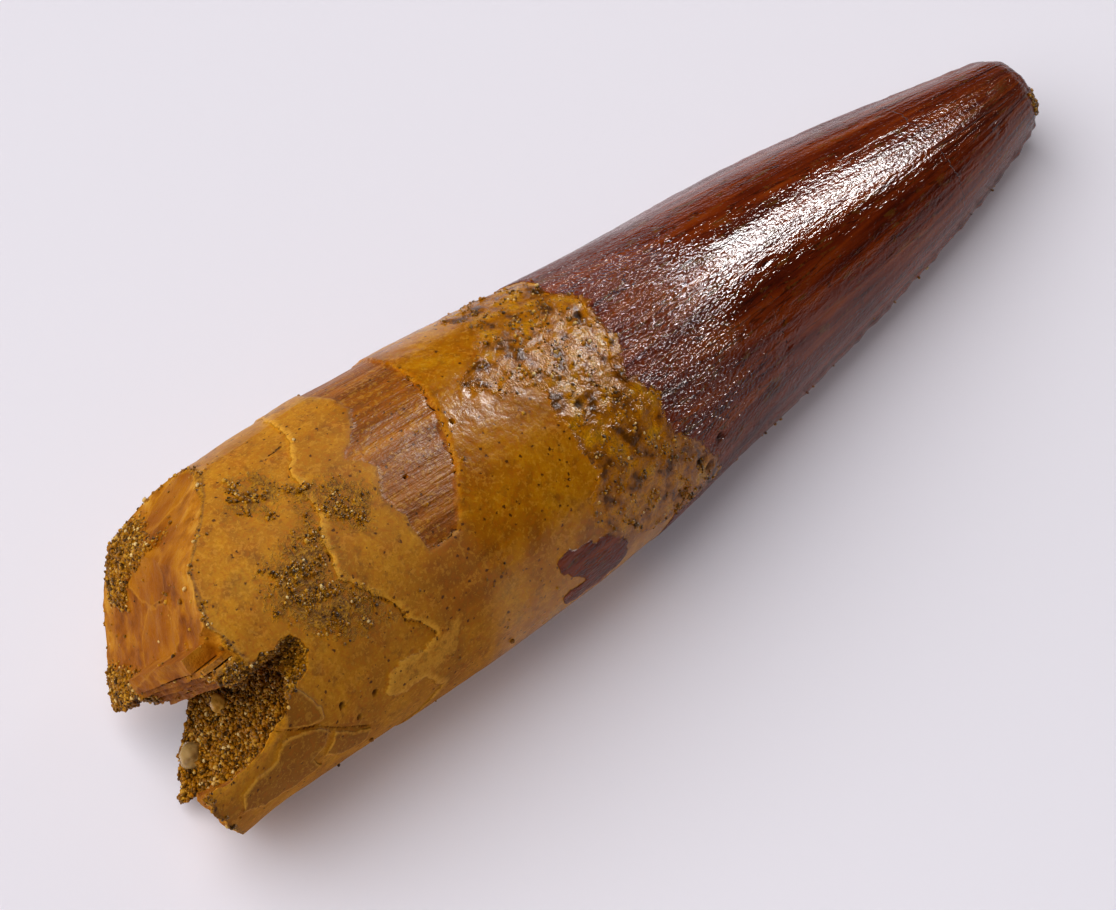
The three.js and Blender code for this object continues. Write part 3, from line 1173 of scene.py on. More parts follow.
@dataclass(frozen=True)
class MineralisedTooth:
    """Fossil enamel and dentine, stained by iron and manganese, worn and polished by hand.

    The enamel gives the eye a wet orange-brown with broken glints, the dentine a warm ochre
    with a soft shine, and the fresh fractures a paler, powdery yellow.
    """

    enamel: Stops = (
        (0.3, "#561a02"), (0.42, "#6c2603"), (0.52, "#7b2f03"), (0.62, "#8a3b05"),
        (0.76, "#98490a"),
    )
    dentine: Stops = ((0.34, "#905600"), (0.45, "#ac6c00"), (0.56, "#c18002"), (0.7, "#d29614"))
    bare: Stops = ((0.3, "#743c00"), (0.5, "#985600"), (0.7, "#b87206"))
    fracture: Stops = ((0.34, "#965a04"), (0.5, "#b67614"), (0.66, "#ce9836"))
    facet: Stops = ((0.34, "#804600"), (0.5, "#9a5a02"), (0.66, "#b0720a"))
    crust: Stops = ((0.36, "#5c3400"), (0.44, "#9c5e00"), (0.54, "#be7a00"), (0.66, "#d2960e"))
    sand_bed: Stops = ((0.36, "#3c2803"), (0.48, "#8a5c06"), (0.6, "#b5800e"))
    orange: str = "#b86602"
    straw: str = "#cc9420"
    mauve: str = "#84500c"
    # pale ochre; along the edges of the outer layer and the flakes it is a painted highlight
    pale: str = "#e0a53a"
    golden: str = "#d8961c"
    speck: str = "#543006"
    # near black, painted shade in the cracks and pits
    crack: str = "#1d1006"
    dirt: str = "#80561c"
    deep: str = "#2a0c00"
    enamel_gloss: float = 0.12  # each gloss is the roughness of its shine
    dusty_gloss: float = 0.17
    dentine_gloss: float = 0.3
    dull_gloss: float = 0.8
    striated_gloss: float = 0.5
    broken_gloss: float = 0.65
    facet_gloss: float = 0.4
    crust_gloss: float = 0.17
    dry: float = 0.7
    ior: float = 1.6
    shine: float = 0.28
    speck_spacing: float = 0.5
    wrinkle_stretch: tuple[float, float, float] = (0.34, 1.0, 1.0)
    sand_cover: float = 0.4  # how much sand is left between its thick patches
    stored: tuple[str, ...] = (
        "enamel", "striated", "layer", "pale", "cloud", "flake", "crust", "sand", "crack", "pit",
        "depth", "facet", "rim", "ring", "lip", "dull",
    )
    noises: tuple[tuple[str, str, float, float, float], ...] = (
        # name, where it is read, feature size in millimetres, detail and roughness
        ("blotch", "place", 4.2, 4.0, 0.6),
        ("patch", "place", 1.3, 4.0, 0.55),
        ("fine", "place", 0.3, 3.0, 0.65),
        ("streak", "drawn_here", 0.95, 3.0, 0.5),
        ("hair", "drawn_here", 0.22, 2.0, 0.6),
        ("wave", "drawn_here", 0.85, 2.0, 0.5),
        ("grit", "place", 0.15, 2.0, 0.6),
        ("fleck", "place", 0.7, 3.0, 0.6),
        ("wrinkle", "along", 0.15, 1.0, 0.5),
    )

    def material(self) -> bpy.types.Material:
        """Builds the material from the marks stored in the mesh.

        Returns:
            The material.
        """
        r = Recipe("mineralised_enamel_and_dentine")
        for name in self.stored:
            r.named[name + "_here"] = (r.add("Attribute", attribute_name=name), "Fac")
        r.named["drawn_here"] = (r.add("Attribute", attribute_name="drawn"), "Vector")
        self._patterns(r)
        self._masks(r)
        gloss = r.lay(self.dentine_gloss, [
            ("dull_here", 1.0, self.dull_gloss),
            ("striated", 1.0, self.striated_gloss),
            ("broken", 1.0, self.broken_gloss),
            ("facet", 1.0, self.facet_gloss),
            ("enamel", 1.0, self.enamel_gloss),
            ("dusty", 0.4, self.dusty_gloss),
            ("crust", 1.0, self.crust_gloss),
            ("caked", 1.0, self.dry),
            ("crack", 1.0, self.dry),
            ("pit_here", 1.0, self.dry),
            ("groove", 1.0, self.dry),
        ], "FLOAT")
        return r.finish(self._colour(r), gloss, self._bump(r), self.ior,
                        Specular_IOR_Level=self.shine)

    def _patterns(self, r: Recipe) -> None:
        """Names the patterns that the colours and the bump share.

        Args:
            r: the material, with what the mesh stores.
        """
        r.named["along"] = r.add("VectorMath", {0: "place", 1: self.wrinkle_stretch},
                                 operation="MULTIPLY")
        for name, vector, size, detail, rough in self.noises:
            sockets = {"Vector": vector, "Scale": 1 / size, "Detail": detail, "Roughness": rough}
            r.named[name] = (r.add("TexNoise", sockets), "Fac")
        middle = r.add("Math", {0: "wave", 1: 0.5}, operation="SUBTRACT")
        r.named["line"] = r.add("Math", {0: middle}, operation="ABSOLUTE")
        dots = r.add("TexVoronoi", {"Vector": "place", "Scale": 1 / self.speck_spacing})
        r.named["dot_away"] = (dots, "Distance")
        r.named["dot_chance"] = (r.add("SeparateColor", {0: (dots, "Color")}), "Red")

    def _masks(self, r: Recipe) -> None:
        """Names the mask of every patch.

        Args:
            r: the material, with its patterns and what the mesh stores.
        """
        r.masks({
            "enamel": ("enamel_here", "fine", 0.25, -0.05, 0.05),
            "striated": ("striated_here", "fine", 0.3, -0.08, 0.08),
            "layer": ("layer_here", "fine", 0.25, -0.04, 0.04),
            # band inside the outer layer's edge that gets a painted highlight
            "layer_lit_rim": ("layer_here", "patch", 0.7, 0.55, 0.1),
            "pale": ("pale_here", "fine", 0.3, -0.1, 0.1),
            "cloud": ("cloud_here", "patch", 1.8, -0.9, 0.9),
            "flake": ("flake_here", "fine", 0.1, -0.04, 0.04),
            # band inside each flake's edge that gets a painted highlight
            "flake_lit_rim": ("flake_here", "patch", 0.3, 0.25, 0.04),
            "lip": ("lip_here", "patch", 1.4, 1.2, 0.3),
            "crust": ("crust_here", "fine", 1.2, -0.15, 0.15),
            "off_crust": ("crust_here", "fine", 1.2, 0.15, -0.15),
            "dusty": ("crust_here", "patch", 5.0, -12.0, -2.5),
            "sand": ("sand_here", "fine", 3.2, -0.6, 0.9),
            "sandy": ("patch", "fine", 0.5, 0.4, 0.52),
            "groove": ("ring_here", "patch", 0.5, 0.36, 0.12),
            "gritty": ("grit", "patch", -0.5, 0.47, 0.4),
            "near_sand": ("sand_here", "blotch", 5.0, -3.4, -0.6),
            "crack": ("crack_here", "fine", 0.16, 0.07, 0.0),
            "broken": ("depth_here", "fine", 0.15, 0.03, 0.16),
            "powder": ("depth_here", "patch", 2.6, 1.9, 0.9),
            "facet": ("facet_here", "patch", 0.5, -0.1, 0.1),
            "facet_rim": ("facet_here", "patch", 0.6, 0.16, -0.08),
            "rim": ("rim_here", "patch", 1.3, -0.2, 0.3),
            "furrow": ("line", "fine", 0.012, 0.024, 0.004),
            "stripe": ("line", "fine", 0.08, 0.05, 0.015),
            "dirty": ("patch", "fine", 0.5, 0.5, 0.62),
            "dot": ("dot_away", "fine", 1.1, 0.2, 0.06),
            "rare": ("dot_chance", "fine", 0.0, 0.48, 0.5),
            "often": ("dot_chance", "fine", 0.0, 0.3, 0.32),
            "mauve": ("blotch", "patch", 0.4, 0.56, 0.7),
            "stain": ("patch", "fine", 0.2, 0.5, 0.72),
            "mottle": ("fleck", "patch", 0.3, 0.54, 0.7),
            "grain": ("fine", "patch", 0.3, 0.53, 0.62),
            "gap": ("fine", "patch", 0.3, 0.47, 0.38),
        })
        r.named["chance"] = r.lay("rare", [("near_sand", 1.0, "often")], "FLOAT")
        r.named["cover"] = r.lay(self.sand_cover, [("sandy", 1.0, 1.0)], "FLOAT")
        r.products({
            "speck": ("dot", "chance"),
            "layer_edge": ("layer", "layer_lit_rim"),
            "flake_edge": ("flake", "flake_lit_rim"),
            "facet_edge": ("facet", "facet_rim"),
            "dirt": ("stripe", "dirty"),
            "bare_enamel": ("enamel", "off_crust"),
            "rough_enamel": ("enamel", "off_crust", "dusty"),
            "thin_sand": ("sand", "cover"),
        })
        r.named["caked"] = r.lay("thin_sand", [
            ("groove", 0.6, 1.0),
            ("broken", 1.0, "rim"),
        ], "FLOAT")

    def _colour(self, r: Recipe) -> object:
        """Lays every colour of the tooth.

        Args:
            r: the material, with its patterns and masks.

        Returns:
            The colour.
        """
        tones = {
            "enamel_tones": ("streak", self.enamel),
            "dentine_tones": ("blotch", self.dentine),
            "bare_tones": ("streak", self.bare),
            "fracture_tones": ("patch", self.fracture),
            "wall_tones": ("patch", self.facet),
            "facet_tones": ("blotch", self.facet),
            "crust_tones": ("patch", self.crust),
            "sand_tones": ("fine", self.sand_bed),
        }
        for name, (pattern, stops) in tones.items():
            r.named[name] = r.add("ValToRGB", {"Fac": pattern}, stops)
        crust = r.lay("crust_tones", [("gritty", 0.35, self.speck)])
        dentine = r.lay("dentine_tones", [
            ("dull_here", 0.25, self.straw),
            ("stain", 0.5, self.orange),
            ("mauve", 0.45, self.mauve),
            # painted highlight: a pale band along the edge of the outer layer
            ("layer_edge", 0.75, self.pale),
            ("cloud", 0.65, "bare_tones"),
            ("striated", 1.0, "bare_tones"),
            ("pale", 0.5, self.pale),
            # painted highlight: a pale band round the edge of each flake
            ("flake", 0.6, self.mauve),
            ("flake_edge", 0.8, self.pale),
            ("lip", 1.0, self.golden),
            ("gritty", 0.12, self.mauve),
            ("mottle", 0.5, self.mauve),
            ("grain", 0.3, self.pale),
            ("gap", 0.4, self.orange),
            ("speck", 0.9, self.speck),
        ])
        enamel = r.lay("enamel_tones", [
            ("mauve", 0.15, self.deep),
            ("furrow", 0.6, self.deep),
            ("dirt", 0.5, self.dirt),
        ])
        broken = r.lay("wall_tones", [
            ("powder", 0.9, "fracture_tones"),
            ("facet", 1.0, "facet_tones"),
            ("facet_edge", 0.45, self.pale),
        ])
        return r.lay(dentine, [
            ("enamel", 1.0, enamel),
            ("crust", 0.95, crust),
            ("broken", 1.0, broken),
            ("caked", 0.9, "sand_tones"),
            # painted shade: near black in the cracks and pits
            ("crack", 0.8, self.crack),
            ("pit_here", 0.8, self.crack),
        ])

    def _bump(self, r: Recipe) -> bpy.types.Node:
        """Adds the relief that is too fine for the mesh.

        Args:
            r: the material, with its patterns and masks.

        Returns:
            The bump node.
        """
        return r.heap([
            ("wrinkle", "bare_enamel", 0.034),
            ("wrinkle", "rough_enamel", 0.17),
            ("hair", "bare_enamel", 0.02),
            ("hair", "striated", 0.06),
            ("wrinkle", "striated", 0.03),
            ("fine", 1.0, 0.026),
            ("patch", 1.0, 0.03),
            ("fine", "crust", 0.035),
            ("grit", "crust", 0.025),
            ("fine", "broken", 0.06),
            ("grit", "broken", 0.03),
            ("grit", "caked", 0.12),
            ("layer", 1.0, 0.1),
            ("enamel", 1.0, 0.05),
            ("striated", 1.0, -0.03),
            ("flake", 1.0, 0.1),
            ("crack", 1.0, -0.12),
        ])


@dataclass(frozen=True)
class DesertSandstone:
    """Iron-stained sandstone and loose sand, unworked.

    Each grain keeps its own dull brown, olive or cream, and the gaps between them get painted shade.
    """

    grains: Stops = (
        (0.04, "#4a2f08"), (0.16, "#74500a"), (0.45, "#925f04"), (0.75, "#b07808"),
        (0.93, "#c49430"), (1.0, "#e0c488"),
    )
    stain: str = "#b8740f"
    # near black, painted shade between the grains
    gap: str = "#150d03"
    grain_size: float = 0.3
    patch: tuple[float, float] = (1.2, 3.0)  # feature size and detail of a noise
    grit: tuple[float, float] = (0.12, 2.0)
    loose_grit: tuple[float, float] = (0.1, 2.0)
    dry: float = 0.6
    wet: float = 0.4
    ior: float = 1.54

    def rock(self) -> bpy.types.Material:
        """Builds the material of the solid sandstone.

        Returns:
            The material.
        """
        r = Recipe("iron_stained_sandstone")
        r.named["warm_here"] = (r.add("Attribute", attribute_name="warm"), "Fac")
        for name, (size, detail) in (("patch", self.patch), ("fine", self.grit)):
            sockets = {"Vector": "place", "Scale": 1 / size, "Detail": detail}
            r.named[name] = (r.add("TexNoise", sockets), "Fac")
        cells = r.add("TexVoronoi", {"Vector": "place", "Scale": 1 / self.grain_size})
        r.named["away"] = (cells, "Distance")
        r.masks({
            # painted shade where the grain cells meet
            "between": ("away", "fine", 0.1, 0.4, 0.62),
            "warm": ("warm_here", "patch", 0.6, 0.2, 0.8),
        })
        chance = (r.add("SeparateColor", {0: (cells, "Color")}), "Red")
        grain = r.add("ValToRGB", {"Fac": chance}, self.grains)
        colour = r.lay(grain, [("warm", 0.6, self.stain), ("between", 0.85, self.gap)])
        bump = r.heap([("away", 1.0, -0.2), ("fine", 1.0, 0.03)])
        return r.finish(colour, self.dry, bump, self.ior)

    def loose(self) -> bpy.types.Material:
        """Builds the material of the separate grains, each with its own tone.

        Returns:
            The material.
        """
        r = Recipe("iron_stained_sand")
        size, detail = self.loose_grit
        fine = r.add("TexNoise", {"Vector": "place", "Scale": 1 / size, "Detail": detail})
        tone = (r.add("Attribute", attribute_name="tone"), "Fac")
        grain = r.add("ValToRGB", {"Fac": tone}, self.grains)
        return r.finish(grain, self.wet, r.heap([(fine, 1.0, 0.03)]), self.ior)


@dataclass(frozen=True)
class MilkyQuartz:
    """Milky quartz, rounded by water: cloudy and a little see-through, with a wet shine."""

    gloss: float = 0.15
    ior: float = 1.544
    clear: float = 0.3
    cloud: tuple[float, float] = (0.4, 3.0)  # feature size and detail of its uneven surface

    def material(self, colour: str) -> bpy.types.Material:
        """Builds the material in a tone of its own.

        Args:
            colour: the tone's hex colour.

        Returns:
            The material.
        """
        r = Recipe("milky_quartz")
        size, detail = self.cloud
        cloud = r.add("TexNoise", {"Vector": "place", "Scale": 1 / size, "Detail": detail})
        return r.finish(colour, self.gloss, r.heap([(cloud, 1.0, 0.05)]), self.ior,
                        Transmission_Weight=self.clear)


@dataclass(frozen=True)
class PaleBoard:
    """Matt white acrylic, slightly lavender and lit from below, which leaves little shadow."""

    colour: str = "#dcd8df"
    gloss: float = 0.9
    ior: float = 1.49
    glow: float = 0.15

    def material(self) -> bpy.types.Material:
        """Builds the material.

        Returns:
            The material.
        """
        return Recipe("matt_lit_acrylic").finish(self.colour, self.gloss, None, self.ior,
                                                 Emission_Color=linear(self.colour),
                                                 Emission_Strength=self.glow)


# ---- pieces ----


@dataclass
class ToothPiece:
    """The whole tooth: crown and root in one, with the break."""

    form: ToothForm = field(default_factory=ToothForm)
    marks: Marks = field(default_factory=Marks)
    relief: Relief = field(default_factory=Relief)
    finish: MineralisedTooth = field(default_factory=MineralisedTooth)
    root_rows: int = 236
    crown_rows: int = 84
    seen: tuple[float, float] = (-64.0, 128.0)
    seen_columns: int = 220
    hidden_columns: int = 44
    inset: float = 0.06
    crown_start: float = -1.0  # station where the crown's rows take over from the root's
    tip_turn: Sequence[float] = tuple(range(10, 91, 8))  # degrees round the tip's worn edge
    tip_worn: float = 0.93  # where the worn edge ends, as a share of the tip's rounding
    tip_middle: float = 0.06  # share of the section's radius that the last ring has
    tip_rings: int = 9
    tip_wear: float = 0.12
    tip_noise: Noise = Noise(Seed.TIP, 1.0, 3)
    core_end: float = -20.0
    core_rows: int = 30
    core_columns: int = 96
    plate_share: float = 0.97  # how much of the section's radius the thin layers fill
    broken_from: tuple[float, float] = (-20.0, -24.0)  # stations where the break's depth counts
    dull_from: tuple[float, float] = (-17.5, -20.5)
    inner_depth: tuple[float, float] = (0.02, 0.15)
    rim_edge: tuple[float, float] = (-0.3, 0.3)
    rim_grain: float = 0.2
    rim_grains: Noise = Noise(Seed.RIM_GRAINS, 0.36)
    powder: float = 0.035
    powders: Noise = Noise(Seed.POWDER, 0.8, 3, 0.7)
    lip: float = 0.1
    lip_width: tuple[float, float] = (0.8, 0.2)
    lips: Noise = Noise(Seed.LIP, 0.7, 3)
    drawn_out: float = 9.0  # how much longer the lengthwise patterns are than wide
    sharp: float = 38.0  # degrees between faces that meet in a sharp edge
    facets: tuple[Outline, ...] = (
        ((-5.8, 3.1), (-6.7, 1.7), (-7.2, -0.4), (-6.7, -2.8), (-5.6, -3.1), (-4.4, -2.5),
         (-4.2, -0.4), (-4.8, 1.4)),
        ((-4.2, 0.5), (-4.3, -2.8), (-3.4, -3.6), (-2.0, -4.2), (-1.5, -3.3), (-0.5, 1.9),
         (-1.5, 2.4), (-3.0, 2.0)),
        ((-8.0, 1.8), (-9.2, 1.6), (-9.9, -0.4), (-9.7, -2.6), (-8.7, -2.5), (-7.9, -0.4)),
    )
    rims: tuple[Outline, ...] = (
        ((-8.9, 5.4), (-8.6, 2.4), (-7.5, 0.6), (-7.4, -1.8), (-6.9, 1.0), (-6.1, 2.9),
         (-4.7, 3.7), (-5.4, 6.5), (-7.5, 6.4)),
        ((-2.0, 8.5), (-1.4, 5.1), (-0.6, 2.6), (0.2, 0.4), (1.4, 3.5), (1.4, 9.0), (-0.7, 10.0)),
        ((0.3, -7.6), (2.2, -7.0), (4.4, -7.2), (4.6, -11.6), (0.6, -11.8)),
    )

    def build(self, break_form: BreakForm) -> bpy.types.Object:
        """Makes the tooth's mesh, broken at the root end.

        Args:
            break_form: the break.

        Returns:
            The dressed tooth.
        """
        tooth = self._skin().to_object("tooth_looks")
        for plane in break_form.planes:
            combine(tooth, break_form.plane_block(plane), Join.CUT)
        combine(tooth, break_form.hollow(0.0), Join.CUT)
        combine(tooth, break_form.cleft(), Join.CUT)
        for each in break_form.plates:
            plate = break_form.plate(each)
            combine(plate, self.core(self.plate_share).to_object("core"), Join.TRIM)
            combine(tooth, plate, Join.ADD)
        self._dress(tooth, break_form)
        return tooth

    def _skin(self) -> Shell:
        """Makes the outer surface with all its relief, closed at both ends.

        Returns:
            The surface.
        """
        f = self.form
        shoulder = f.tip_end - f.tip_rounding
        seen = np.linspace(*self.seen, self.seen_columns, endpoint=False)
        hidden = np.linspace(self.seen[1], self.seen[0] + 360, self.hidden_columns, endpoint=False)
        angles = angle_from(np.concatenate([seen, hidden]), 0.0)
        root = np.linspace(f.root_end, self.crown_start, self.root_rows, endpoint=False)
        crown = np.linspace(self.crown_start, shoulder, self.crown_rows)
        turn = np.radians(self.tip_turn)
        worn = shoulder + self.tip_worn * f.tip_rounding * np.sin(turn)
        inward = np.linspace(f.tip_flat, self.tip_middle, self.tip_rings)
        bulge = (1 - self.tip_worn) * (1 - (inward / f.tip_flat) ** 2)
        face = shoulder + f.tip_rounding * (self.tip_worn + bulge)
        stations = np.concatenate([root, crown, worn, face])
        shares = np.concatenate([np.ones(len(root) + len(crown)),
                                 1 - (1 - f.tip_flat) * (1 - np.cos(turn)), inward])
        return self._lathe(stations, shares, angles)

    def _lathe(self, stations: Array, shares: Array, angles: Array) -> Shell:
        """Closed surface of rings.

        Args:
            stations: station of each ring.
            shares: how much of the section's radius each ring has.
            angles: angles of the columns.

        Returns:
            The surface, with its relief.
        """
        x = np.repeat(stations, len(angles))
        angle = np.tile(angles, len(stations))
        marks = self.marks.measure(x, angle)
        height = self.relief.height(x, angle, marks) + self.form.carina(x, angle)
        radius = (self.form.radius(x, angle) + height - self.inset) * np.repeat(shares, len(angles))
        ends = np.array([stations[0], stations[-1]])
        centres = self.form.surface(ends, np.zeros(2), np.zeros(2))
        points = np.vstack([self.form.surface(x, angle, radius), centres])
        points[:, 2] = np.maximum(points[:, 2], 0.0)
        worn = fade(x, self.form.tip_end - 1.0, self.form.tip_end)
        points[: len(x), 0] -= worn * self.tip_wear * (1 + self.tip_noise.at(points[: len(x)]))
        index = np.arange(len(x)).reshape(len(stations), len(angles))
        after = np.roll(index, -1, axis=1)
        sides = np.stack([index[:-1], index[1:], after[1:], after[:-1]], -1).reshape(-1, 4)
        caps = [(len(x), a, b) for a, b in zip(index[0], after[0], strict=True)]
        caps += [(len(x) + 1, b, a) for a, b in zip(index[-1], after[-1], strict=True)]
        return Shell(points, [tuple(face[::-1]) for face in sides] + [c[::-1] for c in caps])

    def core(self, share: float) -> Shell:
        """Makes a coarse copy of the root to trim with.

        Args:
            share: how much of the section's radius it has.

        Returns:
            The closed surface.
        """
        stations = np.linspace(self.form.root_end, self.core_end, self.core_rows)
        angles = np.linspace(-180, 180, self.core_columns, endpoint=False)
        return self._lathe(stations, np.full(len(stations), share), angles)

    def _dress(self, tooth: bpy.types.Object, break_form: BreakForm) -> None:
        """Roughens the break, stores the marks and gives the tooth its material.

        Args:
            tooth: the broken tooth, in millimetres.
            break_form: the break.
        """
        mesh = tooth.data
        points = places_of(mesh)
        marks = self._marks(points, break_form)
        x, angle, _ = self.form.local(points)
        inner = fade(marks["depth"], *self.inner_depth)
        rim = fade(marks["rim"], *self.rim_edge)
        grains = rim * self.rim_grain * self.rim_grains.lumps(points)
        powder = self.powder * self.powders.at(points)
        lip = fade(marks["lip"], *self.lip_width) * self.lip * (1 + self.lips.at(points))
        points += (inner * (grains + powder) + (1 - inner) * lip)[:, None] * normals_of(mesh)
        points[:, 2] = np.maximum(points[:, 2], 0.0)
        set_places(mesh, points * MM)
        marks["drawn"] = rolled(x, angle, self.drawn_out)
        for name, values in marks.items():
            give(mesh, name, values)
        mesh.materials.clear()
        mesh.materials.append(self.finish.material())
        mesh.shade_smooth()
        mesh.set_sharp_from_angle(angle=math.radians(self.sharp))
        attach(tooth, "root")
        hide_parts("tooth")

    def _marks(self, points: Array, break_form: BreakForm) -> dict[str, Array]:
        """Reads every mark on the broken tooth.

        Args:
            points: places of the vertices, one row each.
            break_form: the break.

        Returns:
            The marks by name. Depth is how far inside the old skin a place is, on the root.
        """
        x, angle, radius = self.form.local(points)
        marks = self.marks.measure(x, angle)
        marks["depth"] = self.form.radius(x, angle) - self.inset - radius
        marks["depth"] += self.relief.height(x, angle, marks) + self.form.carina(x, angle)
        marks["depth"] *= fade(x, *self.broken_from)
        spots = np.column_stack(break_form.to_chord(points))
        for name, outlines in (("facet", self.facets), ("rim", self.rims)):
            found = [to_line(spots, each, closed=True) for each in outlines]
            marks[name] = np.max([np.where(inside, d, -d) for d, inside in found], axis=0)
        marks["ring"] = break_form.beyond(points)
        marks["lip"] = break_form.from_hollow(points)
        marks["dull"] = fade(x, *self.dull_from)
        return marks


@dataclass
class MatrixPiece:
    """The sandstone in the hollow of the break."""

    finish: DesertSandstone = field(default_factory=DesertSandstone)
    spacing: float = 0.13
    width: tuple[float, float] = (-3.5, 9.5)  # reach out from the chord
    length: tuple[float, float] = (-11.5, 6.9)
    back: float = -20.0
    swell: float = 0.6
    swells: Noise = Noise(Seed.ROCK, 2.2, 3, 0.6)
    grain: float = 0.14
    grains: Noise = Noise(Seed.ROCK_GRAINS, 0.3)
    lump: float = 0.2
    lumps: Noise = Noise(Seed.ROCK_LUMPS, 0.9)
    overlap: float = 0.15  # how far it reaches past the hollow's wall
    core_share: float = 0.96
    warm: tuple[float, float] = (2.5, 6.5)
    front: tuple[float, float] = (1.5, 1.0)

    def build(self, break_form: BreakForm, tooth_piece: ToothPiece) -> bpy.types.Object:
        """Makes the sandstone.

        Args:
            break_form: the break that it fills.
            tooth_piece: the tooth that it stays inside.

        Returns:
            The dressed sandstone.
        """
        def face(out: Array, along: Array) -> Array:
            """The sandstone's face.

            Args:
                out: places out from the chord.
                along: places along the chord.

            Returns:
                Station at each place.
            """
            spots = np.column_stack([out, along, 0 * out])
            grains = self.grain * self.grains.lumps(spots) + self.lump * self.lumps.lumps(spots)
            return break_form.matrix_face(out, along) + self.swell * self.swells.at(spots) - grains

        shell = block_of(face, self.width, self.length, self.back, self.spacing)
        shell = Shell(break_form.from_chord(shell.points), shell.faces)
        rock = shell.to_object("matrix_looks")
        combine(rock, break_form.hollow(-self.overlap), Join.TRIM)
        combine(rock, tooth_piece.core(self.core_share).to_object("core"), Join.TRIM)
        self._dress(rock, break_form)
        return rock

    def _dress(self, rock: bpy.types.Object, break_form: BreakForm) -> None:
        """Stores the sandstone's marks, gives it its material and hangs it on the root's body.

        Args:
            rock: the sandstone, in millimetres.
            break_form: the break.
        """
        mesh = rock.data
        points = places_of(mesh)
        out, along = break_form.to_chord(points)
        behind = points[:, 0] - break_form.matrix_face(out, along)
        give(mesh, "warm", fade(out, *self.warm))
        give(mesh, "front", fade(behind, *self.front))
        set_places(mesh, points * MM)
        mesh.materials.clear()
        mesh.materials.append(self.finish.rock())
        mesh.shade_smooth()
        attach(rock, "root")
        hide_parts("matrix")


@dataclass(frozen=True)
class Pebble:
    """A rounded pebble in the sandstone's face, by its chord place."""

    name: str
    along: float
    out: float
    radius: float
    colour: str
    proud: float = 0.4
    uneven: float = 0.3
    lumps: Noise = Noise(Seed.PEBBLE, 1.0, 3)
    detail: int = 4
    finish: MilkyQuartz = field(default_factory=MilkyQuartz)

    def build(self, break_form: BreakForm) -> bpy.types.Object:
        """Makes the pebble.

        Args:
            break_form: the break that it sits in.

        Returns:
            The dressed pebble.
        """
        out, along = np.array([self.out]), np.array([self.along])
        station = break_form.matrix_face(out, along) - self.proud * self.radius
        ball, faces = round_grain(self.detail)
        ball *= self.radius * (1 + self.uneven * self.lumps.at(ball * self.radius))[:, None]
        points = ball + break_form.from_chord(np.column_stack([station, out, along]))
        pebble = Shell(points, faces).to_object(self.name, MM)
        pebble.data.materials.append(self.finish.material(self.colour))
        pebble.data.shade_smooth()
        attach(pebble, "root")
        return pebble


@dataclass(frozen=True)
class SandCover:
    """Where loose sand sticks to the tooth, with pairs of limits for what sets in slowly."""

    form: ToothForm
    patches: Noise = Noise(Seed.PATCHES, 1.1, 3)
    patchy: tuple[float, float] = (-0.15, 0.35)
    broken: tuple[float, float] = (0.05, 0.2)
    break_start: float = 0.5  # share of the broken surface from which the break's own sand counts
    caked: tuple[float, float] = (-0.5, 0.5)
    crust: tuple[float, float] = (-0.3, 0.5)
    crust_share: float = 0.3
    few: float = 0.001
    few_from: tuple[float, float] = (-6.0, -12.0)
    ring: float = 0.5
    ring_width: float = 0.35
    rim: tuple[float, float] = (-0.4, 0.3)
    break_share: float = 0.01
    edge: float = 0.04  # along the cutting edge that lies near the ground
    edge_angle: float = 118.0
    edge_width: float = 4.0
    edge_from: tuple[float, float] = (-4.0, 4.0)
    tip: float = 5.0
    tip_place: tuple[float, float] = (41.4, 74.0)  # station and angle
    tip_width: tuple[float, float] = (0.5, 14.0)

    def chance(self, tooth: bpy.types.Object) -> Array:
        """Says how likely sand is.

        Args:
            tooth: the dressed tooth.

        Returns:
            How likely a grain is at each vertex.
        """
        points = places_of(tooth.data) / MM
        x, angle, _ = self.form.local(points)
        patchy = fade(self.patches.at(points), *self.patchy)
        broken = fade(read(tooth.data, "depth"), *self.broken)
        caked = fade(read(tooth.data, "sand"), *self.caked)
        crust = self.crust_share * fade(read(tooth.data, "crust"), *self.crust)
        few = self.few * fade(x, *self.few_from)
        ring = np.exp(-((read(tooth.data, "ring") / self.ring_width) ** 2))
        skin = patchy * (caked + crust) + few + self.ring * patchy * ring
        off = angle_from(angle, self.edge_angle) / self.edge_width
        edge = np.exp(-(off**2)) * fade(x, *self.edge_from)
        (station, turn), (width, spread) = self.tip_place, self.tip_width
        tip = np.exp(-(((x - station) / width) ** 2) - (angle_from(angle, turn) / spread) ** 2)
        inside = fade(read(tooth.data, "rim"), *self.rim) + self.break_share
        outside = skin + self.edge * edge * patchy + self.tip * tip
        return np.where(broken > self.break_start, inside, outside)


